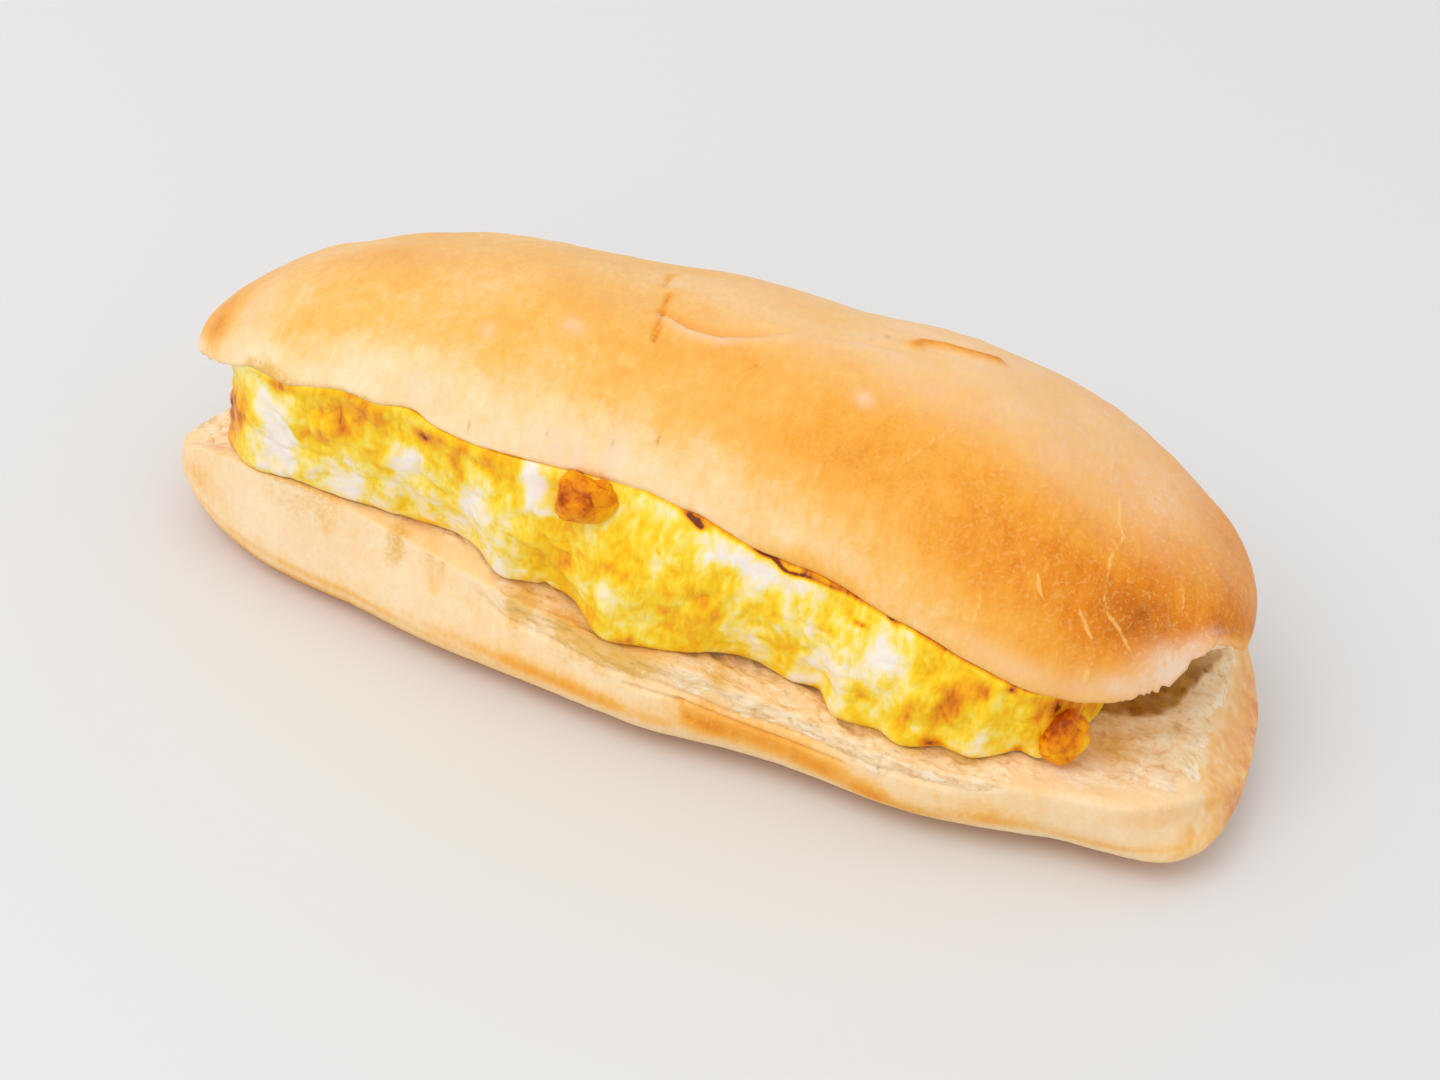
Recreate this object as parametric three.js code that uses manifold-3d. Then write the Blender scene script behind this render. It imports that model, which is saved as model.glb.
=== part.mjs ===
// An egg breakfast sandwich: a long soft roll, slit along its front and left
// joined along its back, opened round a folded omelette with two browned curds.
// Millimetres, +Z up, +X towards the roll's blunt end, -Y its open front. The
// origin is on the flat base, under the middle of the roll.
import * as THREE from "three";
import { mergeVertices } from "three/addons/utils/BufferGeometryUtils.js";
import Module from "manifold-3d";

const { clamp, degToRad, lerp, smoothstep } = THREE.MathUtils;
const wasm = await Module();
wasm.setup();

// The roll's sections are given as they were before it was opened: sizes along
// it are [x, size] stations, with a smooth curve through them.
const HALF_WIDTH = 40;
const LOWER_FRONT = [[-60, 30], [-30, 35], [0, HALF_WIDTH], [24, 39], [50, 41.5], [74, 38.5]];
const LOWER_BACK = [[-60, 38], [0, HALF_WIDTH]];
const UPPER_WIDTH = [[-60, 39.5], [0, HALF_WIDTH], [60, 38]];
const CUT = [[-95, 23], [-50, 25], [0, 21], [50, 19], [95, 20]]; // the knife's level
const CREST = [[-75, 24], [-45, 28], [-15, 32], [15, 35.5], [50, 38], [80, 37]]; // above the cut

// The hinge: the line that the upper half turns about, by so many degrees, and
// the torn crumb left standing on both sides of it.
const HINGE_Y = 34;
const OPENING = [
  [-95, 23], [-60, 26.5], [-25, 26], [10, 25.5], [40, 20.5], [65, 15], [85, 12], [100, 7],
];
const HINGE_CRUMB = { from: 18, height: 8 };

// How round the sections are: 1 is an ellipse, less is squarer.
const LOWER_SIDE_POWER = 0.75;
const BASE_POWER = 0.55;
const BASE_PRESSED = 1.05; // the round of the base, pressed flat by the tray
const CREST_POWER = 0.85;

// The lips: how far each stands up from a straight cut, from a share of the way
// towards it, and how far the lower one is set back behind the belly under it.
const LIP_FROM = 0.35;
const UPPER_LIP_LIFT = [
  [-95, 0], [-88, 0.5], [-80, 1.9], [-72, 0.3], [-62, 0.6], [-55, -0.2], [-49, 0.4],
  [-42, -1.3], [-32, -1.4], [-24, -0.4], [-8, 1.1], [2, 0.3], [14, -1.6], [26, -0.5],
  [40, -1.1], [63, -1.2], [78, 0.2], [87, 3.2], [92, 8], [95.5, 6.3], [99, 0],
];
const LOWER_LIP_LIFT = [
  [-101, 0], [-95, 4], [-88, 3.4], [-80, 1.6], [-72, 2.4], [-52, 0], [-28, -1.3], [-8, 0.6],
  [6, 1.8], [24, 0], [80, 0],
];
const LOWER_LIP_SETBACK = [[-80, 5], [-50, 6.5], [0, 3.5], [50, 1.5], [84, 2], [100, 11]];
const UPPER_END_RISE = [[74, 0], [84, 2], [92, 6], [101, 10]];
const LOWER_END_DROP = [[-101, 10], [-92, 5], [-80, 0], [86, 0], [97, 2], [106, 9]];

// The tips: at [x, reach, power] a size has fallen to nothing, over the reach,
// as a quarter of a superellipse.
const LOWER_FRONT_TIPS = { left: [-101.5, 67, 2], right: [106, 16, 2.6] };
const LOWER_BACK_TIPS = { left: [-101.5, 72, 1.5], right: [106, 42, 2.1] };
const LOWER_DEPTH_TIPS = { left: [-101.5, 26, 2], right: [106, 24, 2] };
const UPPER_WIDTH_TIPS = { left: [-98.5, 58, 2.1], right: [99.5, 46, 2] };
const UPPER_CREST_TIPS = { left: [-98.5, 52, 2], right: [99.5, 61, 2.2] };

// The omelette: how far its foot stays behind the lower lip, how far its front
// swells past a straight line from lip to foot, and where it ends.
const EGG_FOOT = [
  [-90, 1], [-62, 3], [-50, 6.3], [-38, 8.5], [-31, 4.5], [-25, 7.5], [-18, 8], [-10, 1.5],
  [0, 4], [15, 9.8], [24, 8], [29, 8.7], [33, 4], [41, 5.5], [45, 3.8], [52, 6.8], [58, 6],
  [65, 10], [69, 6.5],
];
const EGG_SWELL = [[-90, 1.5], [-50, 3], [-10, 5], [25, 4], [70, 2]];
const EGG_SWELL_POWER = 0.7;
const EGG_TIPS = { left: [-93, 12, 2], right: [80, 16, 2] };
const EGG_BACK_Y = 14;
const EGG_TUCK = 1.5; // how far its top edge hides behind the upper lip
const GAP = 0.5; // clearance between neighbouring pieces

// Two browned curds, folded lobes that lean on the omelette's front: middle,
// half sizes along the roll, out of it and upright, and lean in degrees.
const MIDDLE_CURD = { at: [-16.2, -34.2, 52.6], size: [6.4, 5, 5], lean: 25 };
const END_CURD = { at: [71.6, -29.5, 25.7], size: [4.6, 4.4, 5.8], lean: -18 };
const CURD_POWER = 0.8;

// Relief as waves: height, length along x over a full turn's radians, slant
// across and phase. The crust's are shares of its rise, the egg's millimetres.
const CRUST_WAVES = [[0.014, 11, 2.2, 0], [0.01, 6.3, -3, 0]];
const EGG_WAVES = [[0.9, 3.1, 5, 0], [0.9, 5.3, -9, 1]];

// Marks in the crust as [x, turn] points, the turn going from the back edge (0)
// over the crest to the front lip (pi), with half width and half height.
const LONG_CREASE = {
  path: [[-13, 2.2], [-6, 2.12], [1, 2.06], [10, 1.98], [18, 1.88], [28, 1.77]],
  half: [1.3, 1.1],
};
const CROSS_CRACK = {
  path: [[-16.5, 1.75], [-15.2, 1.95], [-14.6, 2.1], [-13.6, 2.25], [-13, 2.38]],
  half: [0.9, 0.8],
};
const RAISED_FLAKE = {
  path: [[27, 1.67], [32, 1.61], [37, 1.58], [42, 1.54], [46.5, 1.51]],
  half: [1.6, 0.7],
};

// How finely each surface is divided.
const ROLL_STATIONS = 56;
const EGG_STATIONS = 60;
const LOWER_STEPS = { skin: 24, cut: 10 };
const UPPER_STEPS = { skin: 28, cut: 10 };
const EGG_STEPS = { front: 16, face: 7 };
const CURD_STEPS = { rings: 9, sides: 14 };
const MARK_SIDES = 8;

// Smooth curve through [x, size] stations, level beyond both ends.
function along(stations, x) {
  const last = stations.length - 1;
  if (x <= stations[0][0]) return stations[0][1];
  if (x >= stations[last][0]) return stations[last][1];
  const i = stations.findIndex((_, k) => x < stations[k + 1][0]);
  const slope = (k) => {
    const before = stations[Math.max(k - 1, 0)];
    const after = stations[Math.min(k + 1, last)];
    return (after[1] - before[1]) / (after[0] - before[0]);
  };
  const [x0, v0] = stations[i];
  const [x1, v1] = stations[i + 1];
  const w = x1 - x0;
  const t = (x - x0) / w;
  return (
    v0 * (2 * t ** 3 - 3 * t ** 2 + 1) +
    v1 * (3 * t ** 2 - 2 * t ** 3) +
    w * slope(i) * (t ** 3 - 2 * t ** 2 + t) +
    w * slope(i + 1) * (t ** 3 - t ** 2)
  );
}

// 1 along the body, falling to 0 at each tip.
function taper(x, { left, right }) {
  const fall = (distance, reach, power) => {
    const into = clamp(1 - distance / reach, 0, 1);
    return (1 - into ** power) ** (1 / power);
  };
  return fall(x - left[0], left[1], left[2]) * fall(right[0] - x, right[1], right[2]);
}

const signedPower = (v, power) => Math.sign(v) * Math.abs(v) ** power;

const waves = (list, x, across) =>
  list.reduce((sum, [height, length, slant, phase]) => {
    return sum + height * Math.sin(x / length + slant * across + phase);
  }, 0);

const lowerFront = (x) => along(LOWER_FRONT, x) * taper(x, LOWER_FRONT_TIPS);
const lowerBack = (x) => along(LOWER_BACK, x) * taper(x, LOWER_BACK_TIPS);
const lowerSetback = (x) => (along(LOWER_LIP_SETBACK, x) * lowerFront(x)) / HALF_WIDTH;
const lowerLip = (x) => lowerSetback(x) - lowerFront(x);
const lowerLevel = (x) => along(CUT, x) - along(LOWER_END_DROP, x);
const upperWidth = (x) => along(UPPER_WIDTH, x) * taper(x, UPPER_WIDTH_TIPS);
const upperLevel = (x) => along(CUT, x) + along(UPPER_END_RISE, x);

// Height of the crumb that still joins both halves, away from the cut.
function hingeCrumb(y) {
  const share = clamp((y - HINGE_CRUMB.from) / (HINGE_Y - HINGE_CRUMB.from), 0, 1);
  return HINGE_CRUMB.height * share ** 2;
}

// The cut faces, as they were before the roll was opened.
function lowerCut(x, y) {
  const lift = along(LOWER_LIP_LIFT, x) * smoothstep(y / lowerLip(x), LIP_FROM, 1);
  return lowerLevel(x) + hingeCrumb(y) + lift;
}

function upperCut(x, y) {
  const lift = along(UPPER_LIP_LIFT, x) * smoothstep(-y / upperWidth(x), LIP_FROM, 1);
  return upperLevel(x) - hingeCrumb(y) + lift;
}

// A point of the upper half, turned open about the hinge line.
function opened(x, y, z) {
  const angle = degToRad(along(OPENING, x));
  const level = along(CUT, x);
  const dy = y - HINGE_Y;
  const dz = z - level;
  return [
    x,
    HINGE_Y + dy * Math.cos(angle) + dz * Math.sin(angle),
    level - dy * Math.sin(angle) + dz * Math.cos(angle),
  ];
}

// The lower half's skin, at a turn from the front lip (0) under the base to
// the back edge (pi): a boat with a flat bottom and a belly under the lip.
function lowerSkin(x, turn) {
  const front = Math.max(Math.cos(turn), 0);
  const width = front > 0 ? lowerFront(x) : lowerBack(x);
  const belly = lowerSetback(x) * front * (2 * Math.sin(turn) - 1);
  const y = -width * signedPower(Math.cos(turn), LOWER_SIDE_POWER) - belly;
  const pressed = Math.min(BASE_PRESSED * Math.sin(turn) ** BASE_POWER, 1);
  const lift = along(LOWER_LIP_LIFT, x) * front ** 4;
  const depth = lowerLevel(x) * taper(x, LOWER_DEPTH_TIPS) + lift;
  return [x, y, lowerLevel(x) + lift - depth * pressed];
}

// The upper half's crust, at a turn from the back edge (0) over the crest to
// the front lip (pi), a little uneven and turned open.
function crust(x, turn) {
  const rise = (along(CREST, x) - along(UPPER_END_RISE, x)) * taper(x, UPPER_CREST_TIPS);
  const uneven = rise * (1 + waves(CRUST_WAVES, x, turn));
  const lift = along(UPPER_LIP_LIFT, x) * Math.max(-Math.cos(turn), 0) ** 4;
  const y = upperWidth(x) * signedPower(Math.cos(turn), CREST_POWER);
  return opened(x, y, upperLevel(x) + lift + (uneven - lift) * Math.sin(turn) ** CREST_POWER);
}

// One closed loop round each half at x: its skin, then back along its cut face.
function lowerLoop(x) {
  const loop = [];
  for (let i = 0; i < LOWER_STEPS.skin; i++) {
    loop.push(lowerSkin(x, (Math.PI * i) / LOWER_STEPS.skin));
  }
  for (let i = 0; i < LOWER_STEPS.cut; i++) {
    const y = lerp(lowerBack(x), lowerLip(x), i / LOWER_STEPS.cut);
    loop.push([x, y, lowerCut(x, y)]);
  }
  return loop;
}

function upperLoop(x) {
  const loop = [];
  for (let i = 0; i < UPPER_STEPS.skin; i++) {
    loop.push(crust(x, (Math.PI * i) / UPPER_STEPS.skin));
  }
  for (let i = 0; i < UPPER_STEPS.cut; i++) {
    const y = lerp(-upperWidth(x), upperWidth(x), i / UPPER_STEPS.cut);
    loop.push(opened(x, y, upperCut(x, y)));
  }
  return loop;
}

// The omelette at x: its lumpy front from the upper lip down to its foot, then
// back along the lower cut face and forward again under the upper one.
function eggLoop(x) {
  const end = taper(x, EGG_TIPS);
  const backY = Math.min(EGG_BACK_Y, lowerBack(x) - GAP, upperWidth(x) - GAP);
  const footY = lerp(backY, lowerLip(x) + along(EGG_FOOT, x), end);
  const lipY = lerp(backY, EGG_TUCK - upperWidth(x), end);
  const underLid = (y) => opened(x, y, upperCut(x, y) - GAP);
  const [, topY, topZ] = underLid(lipY);
  const footZ = lowerCut(x, footY) + GAP;
  const loop = [];
  for (let i = 0; i < EGG_STEPS.front; i++) {
    const down = i / EGG_STEPS.front;
    const round = Math.sin(Math.PI * down);
    const swell = along(EGG_SWELL, x) * round ** EGG_SWELL_POWER;
    const out = end * (swell + round * waves(EGG_WAVES, x, down));
    loop.push([x, lerp(topY, footY, down) - out, lerp(topZ, footZ, down)]);
  }
  for (let i = 0; i < EGG_STEPS.face; i++) {
    const y = lerp(footY, backY, i / EGG_STEPS.face);
    loop.push([x, y, lowerCut(x, y) + GAP]);
  }
  for (let i = 0; i < EGG_STEPS.face; i++) {
    loop.push(underLid(lerp(backY, lipY, i / EGG_STEPS.face)));
  }
  return loop;
}

// Stations from tip to tip, closer together towards both tips.
function stationsBetween({ left, right }, count) {
  const middle = (left[0] + right[0]) / 2;
  const half = (right[0] - left[0]) / 2;
  const turns = Array.from({ length: count }, (_, i) => (Math.PI * (i + 0.5)) / count);
  return turns.map((turn) => middle - half * Math.cos(turn));
}

function centreOf(loop) {
  const total = loop.reduce((sum, point) => sum.map((s, k) => s + point[k]), [0, 0, 0]);
  return total.map((s) => s / loop.length);
}

// Closed surface through loops of equal length, shut by a pole at each end.
function loft(loops, firstPole = centreOf(loops[0]), lastPole = centreOf(loops.at(-1))) {
  const count = loops[0].length;
  const points = loops.flat();
  const index = [];
  for (let i = 0; i + 1 < loops.length; i++) {
    for (let j = 0; j < count; j++) {
      const a = i * count + j;
      const b = i * count + ((j + 1) % count);
      index.push(a, b, a + count, b, b + count, a + count);
    }
  }
  const first = points.push(firstPole) - 1;
  const last = points.push(lastPole) - 1;
  const start = (loops.length - 1) * count;
  for (let j = 0; j < count; j++) {
    const k = (j + 1) % count;
    index.push(first, k, j, last, start + j, start + k);
  }
  const shape = new THREE.BufferGeometry();
  shape.setAttribute("position", new THREE.Float32BufferAttribute(points.flat(), 3));
  shape.setIndex(index);
  return shape;
}

function solidOf(geometry) {
  const merged = mergeVertices(geometry, 1e-4);
  return new wasm.Manifold(
    new wasm.Mesh({
      numProp: 3,
      vertProperties: merged.attributes.position.array,
      triVerts: new Uint32Array(merged.index.array),
    }),
  );
}

function geometryOf(solid) {
  const mesh = solid.getMesh();
  const geometry = new THREE.BufferGeometry();
  geometry.setAttribute("position", new THREE.BufferAttribute(mesh.vertProperties, 3));
  geometry.setIndex(new THREE.BufferAttribute(mesh.triVerts, 1));
  geometry.computeVertexNormals();
  return geometry;
}

// A slim spindle along a path on the crust, to sink or raise a mark.
function markGeometry({ path, half: [halfWidth, halfHeight] }) {
  const step = 0.02;
  const onCrust = (x, turn) => new THREE.Vector3(...crust(x, turn));
  const points = path.map(([x, turn]) => onCrust(x, turn));
  const ring = (point, ahead, outward) => {
    const sideways = outward.clone().cross(ahead);
    return Array.from({ length: MARK_SIDES }, (_, k) => {
      const round = (2 * Math.PI * k) / MARK_SIDES;
      const offset = sideways.clone().multiplyScalar(halfWidth * Math.cos(round));
      offset.addScaledVector(outward, halfHeight * Math.sin(round));
      return offset.add(point).toArray();
    });
  };
  const loops = points.slice(1, -1).map((point, i) => {
    const [x, turn] = path[i + 1];
    const ahead = points[i + 2].clone().sub(points[i]).normalize();
    const alongRoll = onCrust(x + step, turn).sub(point);
    const overCrest = onCrust(x, turn + step).sub(point);
    return ring(point, ahead, overCrest.cross(alongRoll).normalize());
  });
  return loft(loops, points[0].toArray(), points.at(-1).toArray());
}

// A folded lobe round its own middle, grown by a margin.
function curdGeometry({ size: [a, b, c] }, margin = 0) {
  const loops = Array.from({ length: CURD_STEPS.rings }, (_, i) => {
    const up = Math.PI * (1 - (i + 0.5) / CURD_STEPS.rings);
    return Array.from({ length: CURD_STEPS.sides }, (_, k) => {
      const round = (2 * Math.PI * k) / CURD_STEPS.sides;
      const folds = 0.1 * Math.cos(3 * round + 2 * up) + 0.06 * Math.cos(2 * round - 3 * up);
      const across = Math.sin(up) ** CURD_POWER * (1 - folds);
      return [
        (a + margin) * across * Math.cos(round),
        (b + margin) * across * Math.sin(round),
        (c + margin) * Math.cos(up),
      ];
    });
  });
  return loft(loops);
}

function placeCurd(object, { at, lean }) {
  object.position.set(...at);
  object.rotation.x = degToRad(lean);
}

// The hollow that a curd presses into its neighbours.
function curdHollow(curd) {
  const place = new THREE.Object3D();
  placeCurd(place, curd);
  place.updateMatrix();
  return solidOf(curdGeometry(curd, GAP).applyMatrix4(place.matrix));
}

function makeRoll() {
  const lower = solidOf(loft(stationsBetween(LOWER_FRONT_TIPS, ROLL_STATIONS).map(lowerLoop)));
  const upper = solidOf(loft(stationsBetween(UPPER_WIDTH_TIPS, ROLL_STATIONS).map(upperLoop)));
  const marked = lower
    .add(upper)
    .subtract(solidOf(markGeometry(LONG_CREASE)))
    .subtract(solidOf(markGeometry(CROSS_CRACK)))
    .add(solidOf(markGeometry(RAISED_FLAKE)));
  return geometryOf(marked.subtract(curdHollow(MIDDLE_CURD)));
}

function makeOmelette() {
  const wedge = solidOf(loft(stationsBetween(EGG_TIPS, EGG_STATIONS).map(eggLoop)));
  return geometryOf(wedge.subtract(curdHollow(MIDDLE_CURD)).subtract(curdHollow(END_CURD)));
}

const bread = new THREE.MeshStandardMaterial({ color: 0xf0b468, roughness: 0.6 });
const egg = new THREE.MeshStandardMaterial({ color: 0xf6c832, roughness: 0.4 });
const brownedEgg = new THREE.MeshStandardMaterial({ color: 0xe08a1e, roughness: 0.4 });

const sandwich = new THREE.Group();
function addPiece(name, geometry, material) {
  const piece = new THREE.Mesh(geometry, material);
  piece.name = name;
  sandwich.add(piece);
  return piece;
}
addPiece("roll", makeRoll(), bread);
addPiece("omelette", makeOmelette(), egg);
placeCurd(addPiece("middle_curd", curdGeometry(MIDDLE_CURD), brownedEgg), MIDDLE_CURD);
placeCurd(addPiece("end_curd", curdGeometry(END_CURD), brownedEgg), END_CURD);
export default sandwich;
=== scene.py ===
# An egg breakfast sandwich in the studio: a long soft roll, opened round a folded
# omelette. Formulas work in millimetres, +Z up, +X towards the roll's blunt end and
# -Y its open front, and every mesh is turned into metres when it is made.
import itertools

import bpy
import numpy as np
from mathutils import Matrix, Vector


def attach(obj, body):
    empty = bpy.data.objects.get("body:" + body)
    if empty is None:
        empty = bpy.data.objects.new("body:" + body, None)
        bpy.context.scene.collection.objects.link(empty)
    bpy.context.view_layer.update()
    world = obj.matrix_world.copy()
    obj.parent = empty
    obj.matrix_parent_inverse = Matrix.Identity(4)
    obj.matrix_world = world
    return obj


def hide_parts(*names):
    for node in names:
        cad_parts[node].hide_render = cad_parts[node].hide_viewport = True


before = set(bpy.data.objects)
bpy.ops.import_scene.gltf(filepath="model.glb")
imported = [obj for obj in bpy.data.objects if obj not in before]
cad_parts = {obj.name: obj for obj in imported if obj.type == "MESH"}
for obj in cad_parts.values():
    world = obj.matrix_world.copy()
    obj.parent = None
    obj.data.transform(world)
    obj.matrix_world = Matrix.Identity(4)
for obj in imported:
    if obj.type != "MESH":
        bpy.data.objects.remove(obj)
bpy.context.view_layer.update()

# The camera
# It stands in front of the sandwich and well above it, turned a little on its own
# axis, so that the roll runs down to the right. Metres and degrees.
STAND = np.array([0.0623, -0.3934, 0.3643])
AIM = np.array([0.0032, -0.0034, 0.0254])
ROLL = 9.6
FOCAL_LENGTH = 71.5

camera = bpy.data.objects.new("camera", bpy.data.cameras.new("camera"))
camera.data.lens = FOCAL_LENGTH
aimed = Vector(STAND - AIM).to_track_quat("Z", "Y").to_matrix().to_4x4()
rolled = Matrix.Rotation(np.radians(ROLL), 4, "Z")
camera.matrix_world = Matrix.Translation(STAND) @ aimed @ rolled
bpy.context.scene.collection.objects.link(camera)
bpy.context.scene.camera = camera

# Upper half of the roll
# Soft white bread with a thin golden crust, baked as one long roll, slit with a knife
# and turned open about a hinge of crumb that is left along its back.

# Sizes in mm, openings in degrees. Rows of [x, size] make a curve along the roll, and tips
# are the (x, reach, power) by which a curve is rounded off at either end.
MM = 0.001
HINGE_Y = 34
HINGE_CRUMB = {"from": 18, "height": 8}
CUT = [[-95, 23], [-50, 25], [0, 21], [50, 19], [95, 20]]
OPENING = [[-95, 23], [-60, 26.5], [-25, 26], [10, 25.5], [40, 20.5], [65, 15], [85, 12], [100, 7]]
UPPER_WIDTH = [[-60, 39.5], [0, 40], [60, 38]]
UPPER_WIDTH_TIPS = {"left": (-98.5, 58, 2.1), "right": (99.5, 46, 2)}
CREST = [[-75, 24], [-45, 28], [-15, 32], [15, 35.5], [50, 38], [80, 37]]
CREST_TIPS = {"left": (-98.5, 52, 2), "right": (99.5, 61, 2.2)}
CREST_POWER = 0.85
CRUST_WAVES = [[0.014, 11, 2.2], [0.01, 6.3, -3]]  # share of the rise, length and slant
UPPER_END_RISE = [[74, 0], [84, 2], [92, 6], [101, 10]]
UPPER_LIP_LIFT = [
    [-95, 0], [-88, 0.5], [-80, 1.9], [-72, 0.3], [-62, 0.6], [-55, -0.2], [-49, 0.4],
    [-42, -1.3], [-32, -1.4], [-24, -0.4], [-8, 1.1], [2, 0.3], [14, -1.6], [26, -0.5],
    [40, -1.1], [63, -1.2], [78, 0.2], [87, 3.2], [92, 8], [95.5, 6.3], [99, 0],
]
LIP_POWER = 4  # of the lift's fall from the lip over the skin
LIP_FROM = 0.35  # share of the half width from which the cut rises to its lip
NOTHING = 1e-9  # stands in for 0 under a division
UPPER_STATIONS = 400
UPPER_STEPS = {"skin": 190, "cut": 50}
TIP_CROWDING = 0.6  # share of the stations' spacing that crowds them at the tips
UPPER_CROWDING = {"least": 0.7, "more": 1.1, "low": 1.2, "high": 3}  # closest at the lip
CURVE_STEPS = 2000
LIP_ROUND = {"reach": 9, "times": 14}
FADE_AT_TIPS = 4  # mm from a tip over which the relief dies out

# Marks in the crust as [x, turn] points: the turn goes from the back edge (0) over the
# crest to the front lip (pi).
LONG_CREASE = [[-12.6, 2.06], [-8, 2.12], [-2, 2.14], [4, 2.08], [12, 1.96], [21, 1.84], [28, 1.79]]
CREASE_RIM = 0.06  # turn by which the pale rim lies below the crease
CREASE_FADE = {"share": 0.75, "along": (-4, 12)}
CROSS_CRACKS = [
    [[-16.1, 1.62], [-15.9, 1.72], [-15.4, 1.81]],
    [[-13.9, 1.88], [-13.4, 2.05], [-12.8, 2.18], [-12.6, 2.3]],
]
RAISED_FLAKE = [[29.5, 1.7], [30.5, 1.65], [34, 1.62], [39, 1.61], [43.8, 1.57]]
CRACKLE_LINES = [
    [[67, 1.58], [68, 1.84]],
    [[70.1, 1.88], [71.4, 2.1], [72.8, 2.17], [71.4, 2.34], [72, 2.57], [72.8, 2.64], [75.4, 2.7],
     [78.8, 2.84]],
    [[68.7, 2.7], [71.6, 2.8], [72.9, 2.88], [72.7, 3.02]],
    [[20.8, 2.66], [20.6, 2.76], [21.2, 2.9], [21.5, 3.06]],
    [[51.4, 2.78], [52.4, 2.9], [51.8, 3.02]],
    [[45.2, 1.98], [43, 2.1], [39.4, 2.26], [36.8, 2.36], [34.6, 2.48]],
    [[60.4, 2.64], [61.4, 2.7], [62.4, 2.73]],
    [[6.6, 2.28], [4.4, 2.38], [3.2, 2.46], [3, 2.58]],
    [[84.6, 2.32], [85.4, 2.44], [85, 2.52]],
]

# Relief in mm: lumps are layers of noise as [height, size, shift], and marks are ridges
# along the lines, or dents where the height is below 0, as [height, half width].
UPPER_LUMPS = [[0.5, 24], [0.28, 9], [0.11, 3]]
CREASE_RELIEF = {"crease": [-0.7, 1], "rim": [0.6, 1.4]}
MARK_RELIEF = {"crack": [-0.5, 0.35], "flake": [0.8, 1.2], "crackle": [0.15, 0.5]}
LIP_WRINKLES = [[0.26, (3, 16, 16)]]
WRINKLED = {"turns": (2.5, 3.05), "along": (40, 0)}  # where the lip is wrinkled
UPPER_PORES = {"size": 2.6, "reach": 0.5}
PORE_LUMPS = [[0.4, 4, 1]]
PORE_WALL = 0.4
PORE_DEPTH = 0.7
TORN_EDGE = {"along": (78, 84), "half": 2}
TEETH = [[2.2, (0.8, 30, 30), 2]]
TEETH_OUT = 0.6
TORN_LUMPS = [[0.6, (2.6, 30, 30), 5]]
FAR_OFF = 9  # mm that count as off every mark

# Patches of colour as [x, turn, half length, half turn, change].
UPPER_TOAST = [
    [-57, 2.05, 9, 0.28, 0.11], [-91.5, 2.7, 3.6, 0.45, 0.28], [-92, 2, 4.5, 0.5, 0.16],
    [-46, 2.85, 14, 0.14, -0.08], [-81, 2.7, 5, 0.5, -0.1], [-10, 2.1, 5, 0.06, 0.09],
    [-6.5, 2.84, 1.6, 0.12, 0.14], [2, 2.3, 9, 0.1, 0.08], [76, 2.6, 6, 0.2, 0.05],
    [-70, 1.95, 12, 0.2, 0.1], [96, 2.3, 4, 0.5, 0.14], [-20, 2.6, 10, 0.12, 0.05],
    [-24, 2.15, 9, 0.22, 0.06], [-31, 1.95, 4, 0.16, 0.05], [64, 3, 8, 0.12, 0.04],
    [24, 3.12, 10, 0.06, 0.3], [0, 0.6, 90, 0.5, 0.1], [-50, 0.5, 40, 0.4, 0.12],
    [80, 2.35, 5, 0.3, 0.07], [93, 2.8, 3, 0.2, 0.1],
]
UPPER_PALE = [
    [86, 2.88, 5, 0.13, 0.75], [90.5, 2.74, 2.6, 0.12, 0.3], [78, 3.04, 7, 0.08, 0.5],
    [88, 3.08, 6, 0.16, 0.7], [-84, 2.5, 3, 0.4, 0.3], [-26.2, 2.37, 2.2, 0.06, 0.45],
    [24.6, 2.29, 1.6, 0.05, 0.6], [-39.8, 2.53, 1.5, 0.05, 0.4], [-22.5, 3.04, 1.6, 0.12, 0.8],
    [-18.8, 3.06, 1.1, 0.12, 0.75], [-13.2, 3.02, 2, 0.13, 0.65], [-26.5, 3.02, 1.2, 0.1, 0.6],
    [-48, 3.0, 3, 0.1, 0.5], [60, 3.06, 10, 0.05, 0.35], [0.5, 2.84, 1.4, 0.05, 0.3],
    [-15, 1.76, 3, 0.05, 0.35],
]
UPPER_SCORCH = [
    [-6.4, 2.88, 0.6, 0.05, 0.45], [-38, 3.05, 0.4, 0.05, 0.4], [-24.6, 2.98, 0.4, 0.05, 0.45],
    [-20.6, 3.0, 0.35, 0.05, 0.3], [-13.6, 2.96, 0.4, 0.05, 0.35], [24.2, 1.7, 0.5, 0.04, 0.5],
    [22, 1.79, 0.4, 0.02, 0.4], [-55.5, 3.02, 0.4, 0.08, 0.25], [5.6, 2.32, 0.5, 0.02, 0.4],
    [37.5, 2.36, 0.7, 0.02, 0.35], [6.8, 2.74, 0.6, 0.03, 0.25],
]
UPPER_STAIN = [[-77, 3.1, 5, 0.1, 0.9], [-60, 3.14, 14, 0.05, 0.7], [-16, 3.14, 7, 0.05, 0.7]]

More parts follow.
